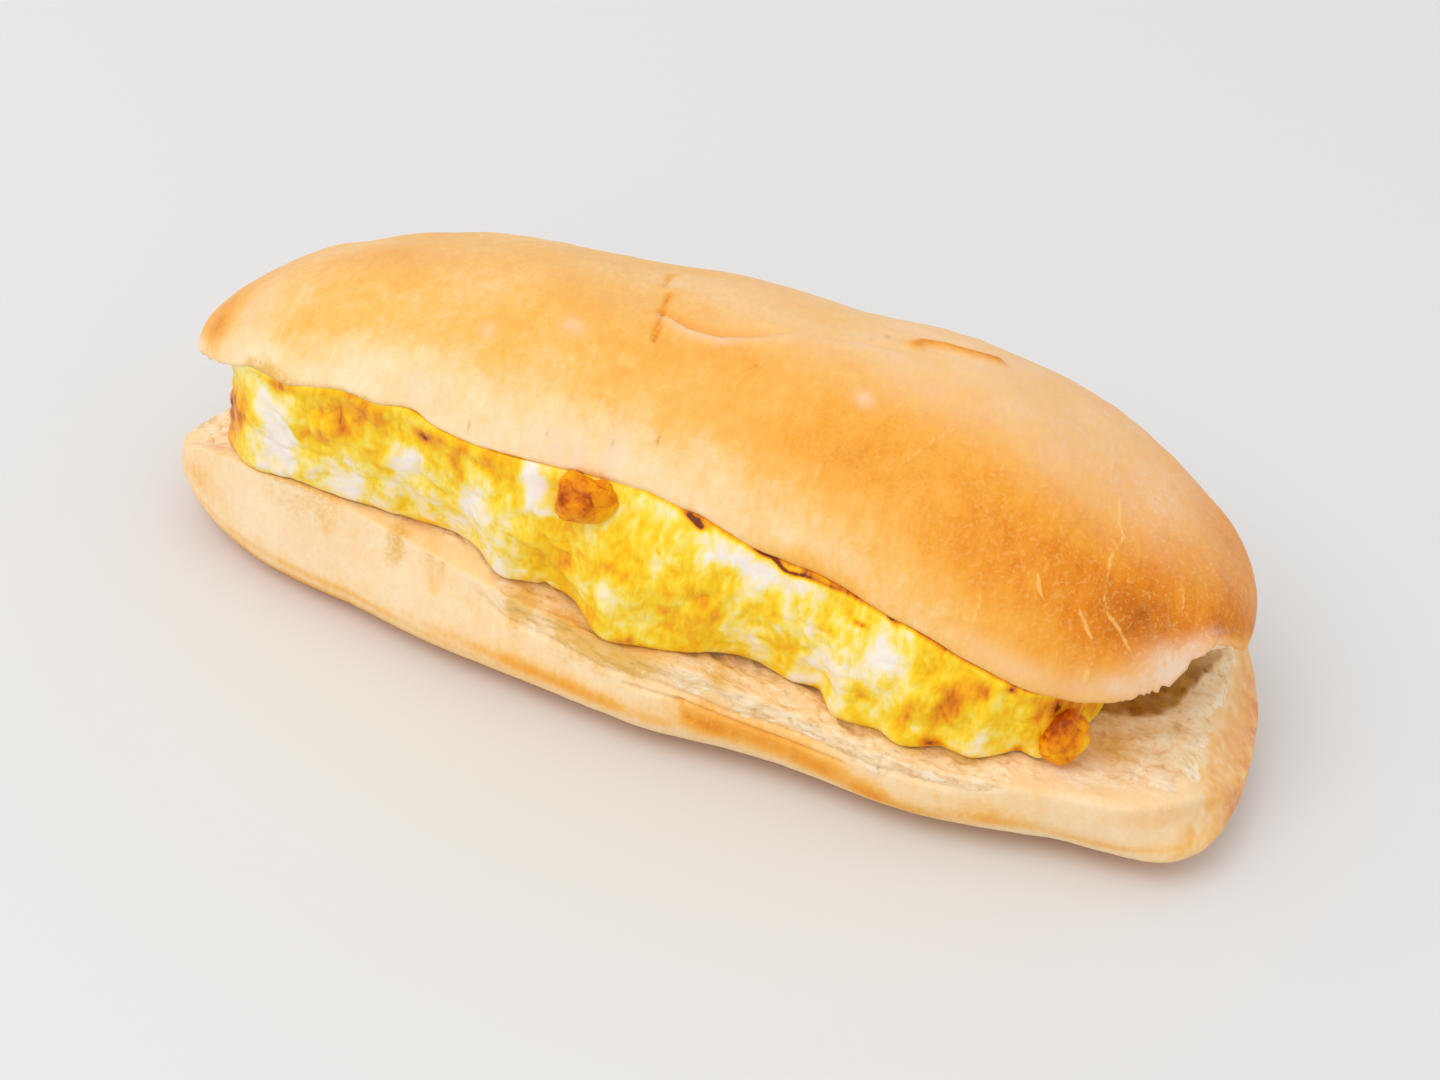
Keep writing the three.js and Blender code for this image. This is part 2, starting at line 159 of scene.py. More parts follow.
# How well baked along x: on the crest, how much more in a band before it that comes lower
# to the right, and how much less at the lip. Then how much painted sheen along x, which
# pales the crest alone.
CREST_TOAST = [[-60, 0.38], [-20, 0.39], [0, 0.36], [45, 0.38], [62, 0.46], [78, 0.58], [92, 0.7]]
BAND_TOAST = [
    [-60, 0], [-25, 0.02], [5, 0.15], [30, 0.26], [55, 0.34], [70, 0.31], [88, 0.12], [96, 0],
]
BAND = {"turn": 2.5, "lower": 0.15, "along": (-60, 60), "half": 0.5}
LIP_TOAST = [[-10, 0.28], [25, 0.24], [50, 0.2], [90, 0.2]]
LIP_TURNS = (2.65, 3.08)
CREST_SHEEN = [[-40, 0.14], [0, 0.28], [50, 0.46], [76, 0.46], [90, 0.14]]
CREST_TURNS = {"back": (0.6, 1.5), "front": (2.4, 1.8)}
UPPER_TOAST_LUMPS = [[0.05, 12, 3]]
# The painted sheen on the crest: its share, its lumps, and the gap that it leaves round the flake and
# the cracks.
PALE_SHARE = 0.95
PALE_LUMPS = [[0.4, 7, 5]]
PALE_GAP = 1.8  # mm from the flake and the cracks that stay unpaled
# Painted shade in the long crease, added to the toast number.
CREASE_SHADE = {"crease": [0.12, 1.3]}
MARK_TOAST = {"flake": [0.42, 1.5], "crack": [0.3, 0.5]}
RIM_PALE = {"rim": [0.45, 1.2]}
# Painted shadow round the raised flake's edge, and darker cracks, in the scorch number.
MARK_SCORCH_AND_SHADE = {"flake edge": [0.06, 0.5], "crack": [0.06, 0.35]}
CUT_STAIN = 0.3  # of egg, on the cut face

CRUST_COLOURS = [
    (0.0, (252, 226, 186)), (0.2, (251, 210, 150)), (0.4, (248, 188, 96)),
    (0.6, (243, 165, 56)), (0.8, (228, 134, 26)), (1.0, (186, 94, 18)),
]
CRUMB_COLOURS = [
    (0.1, (222, 180, 122)), (0.34, (243, 208, 160)), (0.6, (251, 224, 184)), (0.9, (255, 240, 214)),
]
# Pale dough, and the painted sheen on the crest.
PALE_DOUGH_AND_SHEEN = (246, 213, 182)
CRACKLE_COLOUR = (253, 196, 110)
# Painted shade in the crumb's pores.
PORE_SHADE_COLOUR = (184, 146, 88)
# Scorch, and the painted shade under the lid and round the raised flake.
SCORCH_AND_SHADE_COLOUR = (128, 74, 22)
# Egg stain, and a tint of the painted shade under the lid.
EGG_STAIN_AND_SHADE = (226, 172, 48)

# How the bread looks close up. A grain is noise, by the size of its lumps in mm, its detail,
# how it is squeezed (drawn out where that is under 1) and distorted. The weights say how far
# each grain moves a number. A mark sets in between two steps, its share strong in full.
BREAD_GRAINS = {
    "broad": (14, 2), "blotch": (4, 3), "fine": (0.9, 3), "holes": (1.5, 1),
    "streak": (1.1, 3, (1, 0.4, 0.4)), "layers": (1.1, 3, (0.35, 0.7, 1), 0.6),
}
BREAD_WEIGHTS = {
    "toast": {"broad": 0.24, "blotch": 0.28, "streak": 0.22, "fine": 0.2},
    "crackle": {"fine": 0.9, "blotch": 1.2},
    "ragged": {"blotch": 1.6, "fine": 1.2},
    "scorch_and_shade": {"fine": 0.4},
    "crumb tone": {"layers": 1.4, "blotch": 1.4, "fine": 0.7},
    "crumb": {"blotch": 0.9, "fine": 0.5},
    "roughness": {"fine": 0.15},
    "relief": {"fine": 0.3, "streak": 0.25},
}
BREAD_STEPS = {
    "browned": (0.34, 0.7), "flecks": (0.52, 0.66), "threads": (0.1, 0.01), "webbed": (0.46, 0.62),
    "split": (0.34, 0.04), "scorched_and_shaded": (0.1, 0.9), "holes": (0.63, 0.76), "stained_and_shaded": (0.15, 1),
    "scorched crumb": (0.1, 1.1), "torn": (0.35, 0.65),
}
BREAD_SHARES = {"threads": 0.18, "split": 0.7, "flecks": 0.36, "holes": 0.35, "stained_and_shaded": 0.75}
WEB_SIZE = 2.6
WEB_WARP = (1.6, 2.6)  # size and amount in mm
CRUMB_TONE = 0.58
BREAD_ROUGHNESS = 0.5
CRUMB_ROUGHER = 0.3
MARKS_RAISED = 0.35
BREAD_FINISH = {
    "bump": 0.4, "bump depth": 0.4, "Subsurface Weight": 0.12, "Subsurface Radius": (1, 0.5, 0.25),
    "Subsurface Scale": 2.5 * MM, "Specular IOR Level": 0.15,
}
MIDDLE = 0.5  # of a noise texture's values


def along(stations, x):
    """Smooth curve through [x, size] stations, level beyond both ends. Between two of them it
    is a cubic, whose slope at a station is that of the line through its neighbours."""
    places, sizes = np.array(stations, float).T
    before = np.maximum(np.arange(len(places)) - 1, 0)
    after = np.minimum(np.arange(len(places)) + 1, len(places) - 1)
    slopes = (sizes[after] - sizes[before]) / (places[after] - places[before])
    inside = np.clip(x, places[0], places[-1])
    i = np.clip(np.searchsorted(places, inside, side="right") - 1, 0, len(places) - 2)
    width = places[i + 1] - places[i]
    t = (inside - places[i]) / width
    return (
        sizes[i] * (2 * t**3 - 3 * t**2 + 1)
        + sizes[i + 1] * (3 * t**2 - 2 * t**3)
        + width * slopes[i] * (t**3 - 2 * t**2 + t)
        + width * slopes[i + 1] * (t**3 - t**2)
    )


def taper(x, tips):
    """1 along the body, falling to 0 at each tip as a quarter of a superellipse."""

    def fall(distance, reach, power):
        into = np.clip(1 - distance / reach, 0, 1)
        return (1 - into**power) ** (1 / power)

    left, right = tips["left"], tips["right"]
    return fall(x - left[0], left[1], left[2]) * fall(right[0] - x, right[1], right[2])


def signed_power(value, power):
    """The value's size raised to the power, with the value's sign."""
    return np.sign(value) * np.abs(value) ** power


def smooth_step(value, low, high):
    """0 at low and 1 at high, with a soft S between them; low may be above high."""
    t = np.clip((value - low) / (high - low), 0, 1)
    return t * t * (3 - 2 * t)


def upper_width(x):
    """Half width of the upper half: its stations, rounded off at the tips."""
    return along(UPPER_WIDTH, x) * taper(x, UPPER_WIDTH_TIPS)


def upper_level(x):
    """Height of the upper cut: the knife's level, rising at the blunt end."""
    return along(CUT, x) + along(UPPER_END_RISE, x)


def hinge_crumb(y):
    """Height of the crumb that joins both halves: a parabola from its front to the hinge."""
    share = np.clip((y - HINGE_CRUMB["from"]) / (HINGE_Y - HINGE_CRUMB["from"]), 0, 1)
    return HINGE_CRUMB["height"] * share**2


def spread(*parts):
    """Rows of numbers, such as points from their x, y and z, each spread over one grid."""
    return np.stack(np.broadcast_arrays(*parts), -1)


def opened(x, y, z):
    """Points of the upper half, turned about the hinge line by the opening at their x."""
    angle = np.radians(along(OPENING, x))
    level = along(CUT, x)
    dy = y - HINGE_Y
    dz = z - level
    turned_y = HINGE_Y + dy * np.cos(angle) + dz * np.sin(angle)
    turned_z = level - dy * np.sin(angle) + dz * np.cos(angle)
    return spread(x, turned_y, turned_z)


def crust(x, turn):
    """The dome: a superellipse over the cut, from the back edge (turn 0) over the crest to
    the front lip (turn pi), made uneven by two slanting waves, then turned open."""
    rise = (along(CREST, x) - along(UPPER_END_RISE, x)) * taper(x, CREST_TIPS)
    waves = sum(share * np.sin(x / length + slant * turn) for share, length, slant in CRUST_WAVES)
    lift = along(UPPER_LIP_LIFT, x) * np.maximum(-np.cos(turn), 0) ** LIP_POWER
    y = upper_width(x) * signed_power(np.cos(turn), CREST_POWER)
    z = upper_level(x) + lift + (rise * (1 + waves) - lift) * np.sin(turn) ** CREST_POWER
    return opened(x, y, z)


def upper_cut(x, y):
    """The cut face under the dome: level, less the hinge's crumb, with the lip's lift."""
    share = -y / np.maximum(upper_width(x), NOTHING)
    lift = along(UPPER_LIP_LIFT, x) * smooth_step(share, LIP_FROM, 1)
    return upper_level(x) - hinge_crumb(y) + lift


def stations_between(tips, count):
    """Places along x from tip to tip: a share of them spaced as a cosine, which crowds them
    towards the tips, and the rest spaced evenly."""
    share = (np.arange(count) + 0.5) / count
    eased = (1 - np.cos(np.pi * share)) / 2
    left, right = tips["left"][0], tips["right"][0]
    return left + (right - left) * (TIP_CROWDING * eased + (1 - TIP_CROWDING) * share)


def even_turns(surface, count, least, more, low, high):
    """Turns from 0 to pi that share the surface's middle section into equal steps. A length
    counts the least number of times, and more by an S that goes from the low turn to the high
    one, so the steps are closest there."""
    fine = np.linspace(0, np.pi, CURVE_STEPS)
    lengths = np.linalg.norm(np.diff(surface(np.zeros(CURVE_STEPS), fine), axis=0), axis=1)
    weights = least + more * smooth_step(fine[1:], low, high)
    passed = np.append(0, np.cumsum(lengths * weights))
    return np.interp(np.linspace(0, passed[-1], count + 1), passed, fine)[:-1]


def rounded(grid, corner, reach, times):
    """The loops with the edge at one place in them rounded: each point near it moves towards
    the middle of its two neighbours, again and again, less with its distance in the loop."""
    around = grid.shape[1]
    steps = np.abs((np.arange(around) - corner + around // 2) % around - around // 2)
    weight = np.clip(1 - steps / reach, 0, 1)[None, :, None]
    for _ in range(times):
        middle = (np.roll(grid, 1, 1) + np.roll(grid, -1, 1)) / 2
        grid = grid + weight * (middle - grid)
    return grid


TABLE_SIZE = 64
SEED = 17
RANDOM_TABLE = np.random.default_rng(SEED).uniform(-1, 1, (TABLE_SIZE, TABLE_SIZE, TABLE_SIZE))
SEED_READS = (0, 21, 42)  # shifts in the table for the x, y and z of a random point
SEED_REACH = 0.45  # share of its cube by which a random point stands off the middle


def random_at(corner):
    """The table's number at a corner of whole numbers, the table being repeated for ever."""
    return RANDOM_TABLE[tuple(np.moveaxis(corner % TABLE_SIZE, -1, 0))]


def noise(points, size, shift=0):
    """Smooth noise from -1 to 1: random numbers stand at the corners of boxes of that size,
    and soft S weights blend the eight corners round each point."""
    at = points / np.array(size, float) + shift
    low = np.floor(at).astype(int)
    part = smooth_step(at - low, 0, 1)
    total = 0
    for corner in itertools.product((0, 1), repeat=3):
        weight = np.prod(np.where(corner, part, 1 - part), axis=-1)
        total = total + weight * random_at(low + corner)
    return total


def nearest_seed(points, size):
    """Distance to the nearest of many random points, one in each box of that size, as a
    share of the size."""
    at = points / np.array(size, float)
    low = np.floor(at).astype(int)
    nearest = np.inf
    for corner in itertools.product((-1, 0, 1), repeat=3):
        cell = low + corner
        offsets = np.stack([random_at(cell + shift) for shift in SEED_READS], -1)
        seed = cell + 0.5 + SEED_REACH * offsets
        nearest = np.minimum(nearest, np.linalg.norm(seed - at, axis=-1))
    return nearest


def outward(grid):
    """Unit normals of closed loops: the way round each loop crossed with the way from loop
    to loop."""
    around = np.roll(grid, -1, 1) - np.roll(grid, 1, 1)
    normals = np.cross(around, np.gradient(grid, axis=0))
    return normals / np.maximum(np.linalg.norm(normals, axis=-1, keepdims=True), NOTHING)


def raised(grid, relief, tips):
    """The loops pushed outwards by the relief, which dies out towards both tips."""
    x = grid[..., 0]
    fade = np.clip(np.minimum(x - tips["left"][0], tips["right"][0] - x) / FADE_AT_TIPS, 0, 1)
    return grid + (relief * fade)[..., None] * outward(grid)


def patches(x, turn, spots):
    """Sum of soft oval spots, each the change at its middle and a bell curve round it."""
    return sum(
        change * np.exp(-(((x - at_x) / half_x) ** 2) - ((turn - at_turn) / half_turn) ** 2)
        for at_x, at_turn, half_x, half_turn, change in spots
    )


def distance_to(flat, lines):
    """Distance in the flat of each point from the nearest of several lines through points:
    that from the nearest foot on any of their straight parts."""
    nearest = np.inf
    for line in lines:
        part = np.diff(line, axis=0)
        away = flat[..., None, :] - line[:-1]
        share = np.clip((away * part).sum(-1) / (part**2).sum(-1), 0, 1)
        from_foot = np.linalg.norm(away - share[..., None] * part, axis=-1)
        nearest = np.minimum(nearest, from_foot.min(-1))
    return nearest


def bell(distance, half_width):
    """1 at no distance, falling off on both sides as a bell curve."""
    return np.exp(-((distance / half_width) ** 2))


def lumps(points, layers):
    """Sum of layers of noise, each with its height, size and shift."""
    return sum(height * noise(points, *sizes) for height, *sizes in layers)


def marked(off, marks):
    """Sum of bell curves along lines, each with its height and half width."""
    return sum(height * bell(off[line], half) for line, (height, half) in marks.items())


def crumb_pores(points, size, reach):
    """Depth of the pores round random points: the reach is a share of their size, more here
    and less there."""
    inside = reach + lumps(points, PORE_LUMPS) - nearest_seed(points, size)
    return PORE_DEPTH * smooth_step(inside, 0, PORE_WALL)


def make_piece(name, grid, fields, material):
    """Mesh through closed loops of points, in metres, shut at both ends by a fan of triangles
    to the loop's middle. Each field is a number for each point, kept as an attribute."""
    loops, around = grid.shape[:2]
    here = np.arange(around)
    beside = (here + 1) % around
    start = np.arange(loops - 1)[:, None] * around
    following = start + around
    quads = spread(start + here, start + beside, following + beside, following + here)
    last = (loops - 1) * around
    first_pole = last + around
    first_fan = spread(first_pole, beside, here)
    last_fan = spread(first_pole + 1, last + here, last + beside)
    faces = [*quads.reshape(-1, 4).tolist(), *first_fan.tolist(), *last_fan.tolist()]
    points = np.concatenate([grid.reshape(-1, 3), grid[[0, -1]].mean(1)])
    mesh = bpy.data.meshes.new(name)
    mesh.from_pydata(points * MM, [], faces)
    mesh.shade_smooth()
    for field, values in fields.items():
        numbers = np.broadcast_to(values, grid.shape[:2])
        numbers = np.concatenate([numbers.ravel(), numbers[[0, -1]].mean(1)])
        kept = mesh.attributes.new(field, "FLOAT", "POINT")
        kept.data.foreach_set("value", numbers.astype(np.float32))
    mesh.materials.append(material)
    piece = bpy.data.objects.new(name, mesh)
    bpy.context.scene.collection.objects.link(piece)
    return piece


def paint(colour):
    """A colour as it looks on a screen, 0 to 255, as the linear one that a shader takes."""
    share = np.array(colour) / 255
    linear = np.where(share <= 0.04045, share / 12.92, ((share + 0.055) / 1.055) ** 2.4)
    return (*linear, 1)


def node(tree, kind, inputs=None, **settings):
    """A shader node with its settings, and each input either linked or set to a value."""
    made = tree.nodes.new("ShaderNode" + kind)
    for key, value in settings.items():
        setattr(made, key, value)
    for key, value in (inputs or {}).items():
        if isinstance(value, bpy.types.NodeSocket):
            tree.links.new(value, made.inputs[key])
        else:
            made.inputs[key].default_value = value
    return made


def grain(tree, place, size, detail=2, squeeze=None, distortion=0):
    """Noise from 0 to 1 whose lumps have that size in mm, drawn out by the squeeze."""
    if squeeze:
        place = node(tree, "Mapping", {"Vector": place, "Scale": squeeze}).outputs["Vector"]
    inputs = {"Vector": place, "Scale": 1 / (size * MM), "Detail": detail, "Distortion": distortion}
    return node(tree, "TexNoise", inputs).outputs["Fac"]


def attribute(tree, name):
    """One of the numbers kept at the mesh's points."""
    return node(tree, "Attribute", attribute_name=name).outputs["Fac"]


def maths(tree, operation, *values):
    """One sum on numbers, kept between 0 and 1 only where the operation does that."""
    return node(tree, "Math", dict(enumerate(values)), operation=operation).outputs[0]


def times(tree, first, second):
    """The product of two numbers."""
    return maths(tree, "MULTIPLY", first, second)


def weighted(tree, start, grains, weights):
    """The start plus each grain's value, less its middle, times its weight."""
    total = start
    for name, weight in weights.items():
        offset = maths(tree, "SUBTRACT", grains[name], MIDDLE)
        total = maths(tree, "MULTIPLY_ADD", offset, weight, total)
    return total


def stepped(tree, value, low, high):
    """0 at low and 1 at high, with a soft S between them; low may be above high."""
    inputs = {"Value": value, "From Min": low, "From Max": high}
    return node(tree, "MapRange", inputs, interpolation_type="SMOOTHSTEP").outputs["Result"]


def ramp(tree, value, stops):
    """Colour along a row of [place, colour] stops."""
    made = node(tree, "ValToRGB", {"Fac": value})
    elements = made.color_ramp.elements
    while len(elements) < len(stops):
        elements.new(0.5)  # moved to its own place below
    for element, (place, colour) in zip(elements, stops):
        element.position = place
        element.color = paint(colour)
    return made.outputs["Color"]


def mixed(tree, share, first, second):
    """First colour where the share is 0 and second where it is 1. For colours the Mix node
    takes its sockets 0, 6 and 7, and gives out 2."""
    first, second = (c if isinstance(c, bpy.types.NodeSocket) else paint(c) for c in (first, second))
    return node(tree, "Mix", {0: share, 6: first, 7: second}, data_type="RGBA").outputs[2]


def new_material(name):
    """An empty node material, its tree, its Principled shader and its Object coordinates."""
    made = bpy.data.materials.new(name)
    made.use_nodes = True
    tree = made.node_tree
    shader = tree.nodes["Principled BSDF"]
    return made, tree, shader, node(tree, "TexCoord").outputs["Object"]


def warped(tree, place, size, amount):
    """The place pushed about by noise whose lumps have that size, by about the amount, in mm."""
    push = node(tree, "TexNoise", {"Vector": place, "Scale": 1 / (size * MM)}).outputs["Color"]
    centred = node(tree, "VectorMath", {0: push, 1: (MIDDLE,) * 3}, operation="SUBTRACT")
    inputs = {0: centred.outputs[0], 1: (amount * MM,) * 3, 2: place}
    return node(tree, "VectorMath", inputs, operation="MULTIPLY_ADD").outputs[0]


def finished(tree, shader, colour, roughness, height, finish):
    """Links the colour, the roughness and a bump of the height to the shader, and sets the
    finish's numbers, which are the same all over, on its sockets."""
    tree.links.new(colour, shader.inputs["Base Color"])
    tree.links.new(roughness, shader.inputs["Roughness"])
    inputs = {"Height": height, "Strength": finish["bump"], "Distance": finish["bump depth"] * MM}
    tree.links.new(node(tree, "Bump", inputs).outputs["Normal"], shader.inputs["Normal"])
    for socket, value in finish.items():
        if socket in shader.inputs:
            shader.inputs[socket].default_value = value


def bread_material():
    """Crust toned by the toast number, which holds painted shade in the long crease, flecked and
    crackled where it is dark, paled by pale dough and by painted sheen on the crest, darkened by
    scorch and by painted shade under the lid and round the flake, and open crumb with pores,
    their shade painted darker, where the crumb number is 1."""
    made, tree, shader, place = new_material("bread")
    grains = {name: grain(tree, place, *sizes) for name, sizes in BREAD_GRAINS.items()}

    def grained(start, number):
        return weighted(tree, start, grains, BREAD_WEIGHTS[number])

    def mark(value, name):
        return stepped(tree, value, *BREAD_STEPS[name])

    toast = grained(attribute(tree, "toast"), "toast")
    colour = ramp(tree, toast, CRUST_COLOURS)

    browned = mark(toast, "browned")
    inputs = {"Vector": warped(tree, place, *WEB_WARP), "Scale": 1 / (WEB_SIZE * MM)}
    web = node(tree, "TexVoronoi", inputs, feature="DISTANCE_TO_EDGE").outputs["Distance"]
    threads = times(tree, mark(web, "threads"), mark(grains["blotch"], "webbed"))
    light_marks = 0
    for name, value in (
        ("threads", times(tree, threads, browned)),
        ("split", mark(grained(attribute(tree, "crackle"), "crackle"), "split")),
        ("flecks", times(tree, mark(grains["fine"], "flecks"), browned)),
    ):
        light_marks = maths(tree, "MAXIMUM", light_marks, times(tree, value, BREAD_SHARES[name]))
    colour = mixed(tree, light_marks, colour, CRACKLE_COLOUR)

    ragged = grained(1, "ragged")
    # Pale dough, and the painted sheen on the crest, by the pale number.
    colour = mixed(tree, times(tree, attribute(tree, "pale"), ragged), colour, PALE_DOUGH_AND_SHEEN)
    # Scorch, and painted shade under the lid and round the raised flake, in one dark colour.
    scorched_and_shaded = grained(attribute(tree, "scorch_and_shade"), "scorch_and_shade")
    colour = mixed(tree, mark(scorched_and_shaded, "scorched_and_shaded"), colour, SCORCH_AND_SHADE_COLOUR)

    crumb_tone = grained(CRUMB_TONE, "crumb tone")
    crumb_colour = ramp(tree, crumb_tone, CRUMB_COLOURS)
    # Painted shade in the crumb's pores.
    holes = times(tree, mark(grains["holes"], "holes"), BREAD_SHARES["holes"])
    crumb_colour = mixed(tree, holes, crumb_colour, PORE_SHADE_COLOUR)
    crumb_colour = mixed(tree, mark(scorched_and_shaded, "scorched crumb"), crumb_colour, SCORCH_AND_SHADE_COLOUR)
    crumb = mark(grained(attribute(tree, "crumb"), "crumb"), "torn")
    colour = mixed(tree, crumb, colour, crumb_colour)
    # Egg stains, and a tint of the painted shade under the lid.
    stained_and_shaded = mark(times(tree, attribute(tree, "stain_and_shade"), ragged), "stained_and_shaded")
    colour = mixed(tree, times(tree, stained_and_shaded, BREAD_SHARES["stained_and_shaded"]), colour, EGG_STAIN_AND_SHADE)

    rougher = maths(tree, "MULTIPLY_ADD", crumb, CRUMB_ROUGHER, BREAD_ROUGHNESS)
    pitted = times(tree, maths(tree, "SUBTRACT", crumb_tone, holes), crumb)
    relief = maths(tree, "MULTIPLY_ADD", light_marks, MARKS_RAISED, grained(pitted, "relief"))
    finished(tree, shader, colour, grained(rougher, "roughness"), relief, BREAD_FINISH)
    return made


bread = bread_material()

x = stations_between(UPPER_WIDTH_TIPS, UPPER_STATIONS)[:, None]
turn = even_turns(crust, UPPER_STEPS["skin"], **UPPER_CROWDING)[None, :]
across = np.linspace(-1, 1, UPPER_STEPS["cut"], endpoint=False)[None, :]
face_y = upper_width(x) * across
loops = np.concatenate([crust(x, turn), opened(x, face_y, upper_cut(x, face_y))], 1)
loops = rounded(loops, UPPER_STEPS["skin"], **LIP_ROUND)
loops = rounded(loops, 0, **LIP_ROUND)

skin_steps = UPPER_STEPS["skin"]
turn_all = np.concatenate([turn, np.full((1, UPPER_STEPS["cut"]), np.pi)], 1)
skin = np.where(np.arange(loops.shape[1]) < skin_steps, 1.0, 0.0)[None, :]
from_lip = np.linalg.norm(loops - loops[:, [skin_steps]], axis=-1)

section_turns = np.linspace(0, np.pi, CURVE_STEPS)
section = crust(np.zeros(CURVE_STEPS), section_turns)
arc = np.append(0, np.cumsum(np.linalg.norm(np.diff(section, axis=0), axis=1)))


def on_crust(x, turn):
    """Flat place of a point on the crust: x, and its way over the middle section's arc."""
    return spread(x, np.interp(turn, section_turns, arc))


flat = on_crust(x, turn_all)
lines = {
    "crease": [LONG_CREASE],
    "rim": [np.array(LONG_CREASE) + [0, CREASE_RIM]],
    "crack": CROSS_CRACKS,
    "flake": [RAISED_FLAKE],
    "crackle": CRACKLE_LINES,
}
off = {
    name: distance_to(flat, [on_crust(*np.transpose(line)) for line in drawn])
    for name, drawn in lines.items()
}
off["flake edge"] = off["flake"] - MARK_RELIEF["flake"][1]
off["crackle"] = off["crackle"] + FAR_OFF * (1 - skin)
fading = 1 - CREASE_FADE["share"] * smooth_step(x, *CREASE_FADE["along"])

wrinkled = smooth_step(turn_all, *WRINKLED["turns"]) * smooth_step(x, *WRINKLED["along"])
relief = skin * (
    lumps(loops, UPPER_LUMPS)
    + lumps(loops, LIP_WRINKLES) * wrinkled
    + fading * marked(off, CREASE_RELIEF)
    + marked(off, MARK_RELIEF)
)
relief = relief - (1 - skin) * crumb_pores(loops, **UPPER_PORES)
torn = smooth_step(x, *TORN_EDGE["along"]) * bell(from_lip, TORN_EDGE["half"])
teeth = TEETH_OUT - np.abs(lumps(loops, TEETH))
relief = relief + torn * (teeth + lumps(loops, TORN_LUMPS))
loops = raised(loops, relief, UPPER_WIDTH_TIPS)

band_turn = BAND["turn"] + BAND["lower"] * smooth_step(x, *BAND["along"])
# The toast number also holds painted shade along the long crease.
toast = (
    along(CREST_TOAST, x)
    + along(BAND_TOAST, x) * bell(turn_all - band_turn, BAND["half"])
    - along(LIP_TOAST, x) * smooth_step(turn_all, *LIP_TURNS)
    + patches(x, turn_all, UPPER_TOAST)
    + lumps(loops, UPPER_TOAST_LUMPS)
    + fading * marked(off, CREASE_SHADE)
    + marked(off, MARK_TOAST)
)
on_crest = smooth_step(turn_all, *CREST_TURNS["back"]) * smooth_step(turn_all, *CREST_TURNS["front"])
# Painted sheen on the crest, as paler crust.
pale = along(CREST_SHEEN, x) * on_crest * (PALE_SHARE + lumps(loops, PALE_LUMPS))
pale = pale * (1 - bell(np.minimum(off["flake"], off["crack"]), PALE_GAP))
pale = pale + patches(x, turn_all, UPPER_PALE) + fading * marked(off, RIM_PALE)
upper_fields = {
    "toast": toast,
    "pale": pale * skin,
    "scorch_and_shade": (patches(x, turn_all, UPPER_SCORCH) + marked(off, MARK_SCORCH_AND_SHADE)) * skin,
    "crackle": off["crackle"],
    "crumb": 1 - skin,
    "stain_and_shade": CUT_STAIN * (1 - skin) + patches(x, turn_all, UPPER_STAIN) * skin,
}
upper_half = make_piece("upper_half", loops, upper_fields, bread)
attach(upper_half, "root")
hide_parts("roll")

# Lower half of the roll
# The same bread under the slit: a pale boat with a flat baked base. Its front lip is
# torn where the egg was pushed in, and its blunt end shows the cut face.
LOWER_FRONT = [[-60, 30], [-30, 35], [0, 40], [24, 39], [50, 41.5], [74, 38.5]]
LOWER_BACK = [[-60, 38], [0, 40]]
LOWER_FRONT_TIPS = {"left": (-101.5, 67, 2), "right": (106, 16, 2.6)}
LOWER_BACK_TIPS = {"left": (-101.5, 72, 1.5), "right": (106, 42, 2.1)}
LOWER_DEPTH_TIPS = {"left": (-101.5, 26, 2), "right": (106, 24, 2)}
LOWER_LIP_LIFT = [
    [-101, 0], [-95, 4], [-88, 3.4], [-80, 1.6], [-72, 2.4], [-52, 0], [-28, -1.3], [-8, 0.6],
    [6, 1.8], [24, 0], [80, 0],
]
LOWER_LIP_SETBACK = [[-80, 5], [-50, 6.5], [0, 3.5], [50, 1.5], [84, 2], [100, 11]]
LOWER_END_DROP = [[-101, 10], [-92, 5], [-80, 0], [86, 0], [97, 2], [106, 9]]
LOWER_SIDE_POWER = 0.75
BASE_POWER = 0.55
BASE_PRESSED = 1.05  # above 1 flattens the middle of the base
FULL_WIDTH = 40  # half width at which the lip has its whole setback
LOWER_STATIONS = 360
LOWER_STEPS = {"skin": 200, "cut": 70}
LOWER_CROWDING = {"least": 0.45, "more": 1.8, "low": 0.8, "high": 0.3}
CUT_CROWDING = 1.7
SOFT_END_ROUND = {"reach": 20, "times": 60}
SOFT_END = (52, 80)
MM_PER_TURN = 45  # flat places on the boat count a turn as if it were round everywhere

# Patches of colour as on the upper half, with the turn from the front lip (0) under the
# base to the back edge (pi), and the crust that comes round the blunt end onto the cut.
LOWER_TOAST = [
    [-22, 0.33, 8, 0.1, 0.46], [-9, 0.33, 7, 0.1, 0.42], [1, 0.33, 4, 0.07, 0.22],
    [11, 0.22, 5, 0.12, 0.5], [22, 0.19, 9, 0.14, 0.56], [33, 0.23, 6, 0.14, 0.5],
    [42, 0.3, 4, 0.13, 0.42], [50, 0.36, 9, 0.13, 0.32], [-94, 0.18, 4, 0.12, 0.24],
    [66, 0.22, 9, 0.08, 0.34], [98, 0.2, 4, 0.2, 0.17], [-60, 0.48, 34, 0.06, 0.26],
    [85, 0.3, 12, 0.06, 0.26], [100, 0.42, 4, 0.1, 0.4], [89, 0.04, 7, 0.06, 0.18],
    [-36, 0.36, 12, 0.06, 0.2], [64, 0.1, 9, 0.07, 0.12],
]
LOWER_PALE = [[-70, 0.2, 24, 0.12, 0.25], [86, 0.12, 16, 0.16, 0.3], [103, 0.8, 4, 1.4, 0.25]]
END_CRUST = {
    "from": 97.6, "edge": 2, "ragged": 1.2, "toast": 0.26, "more": 0.4, "along": (97, 104),
    "pale": 0.3,
}
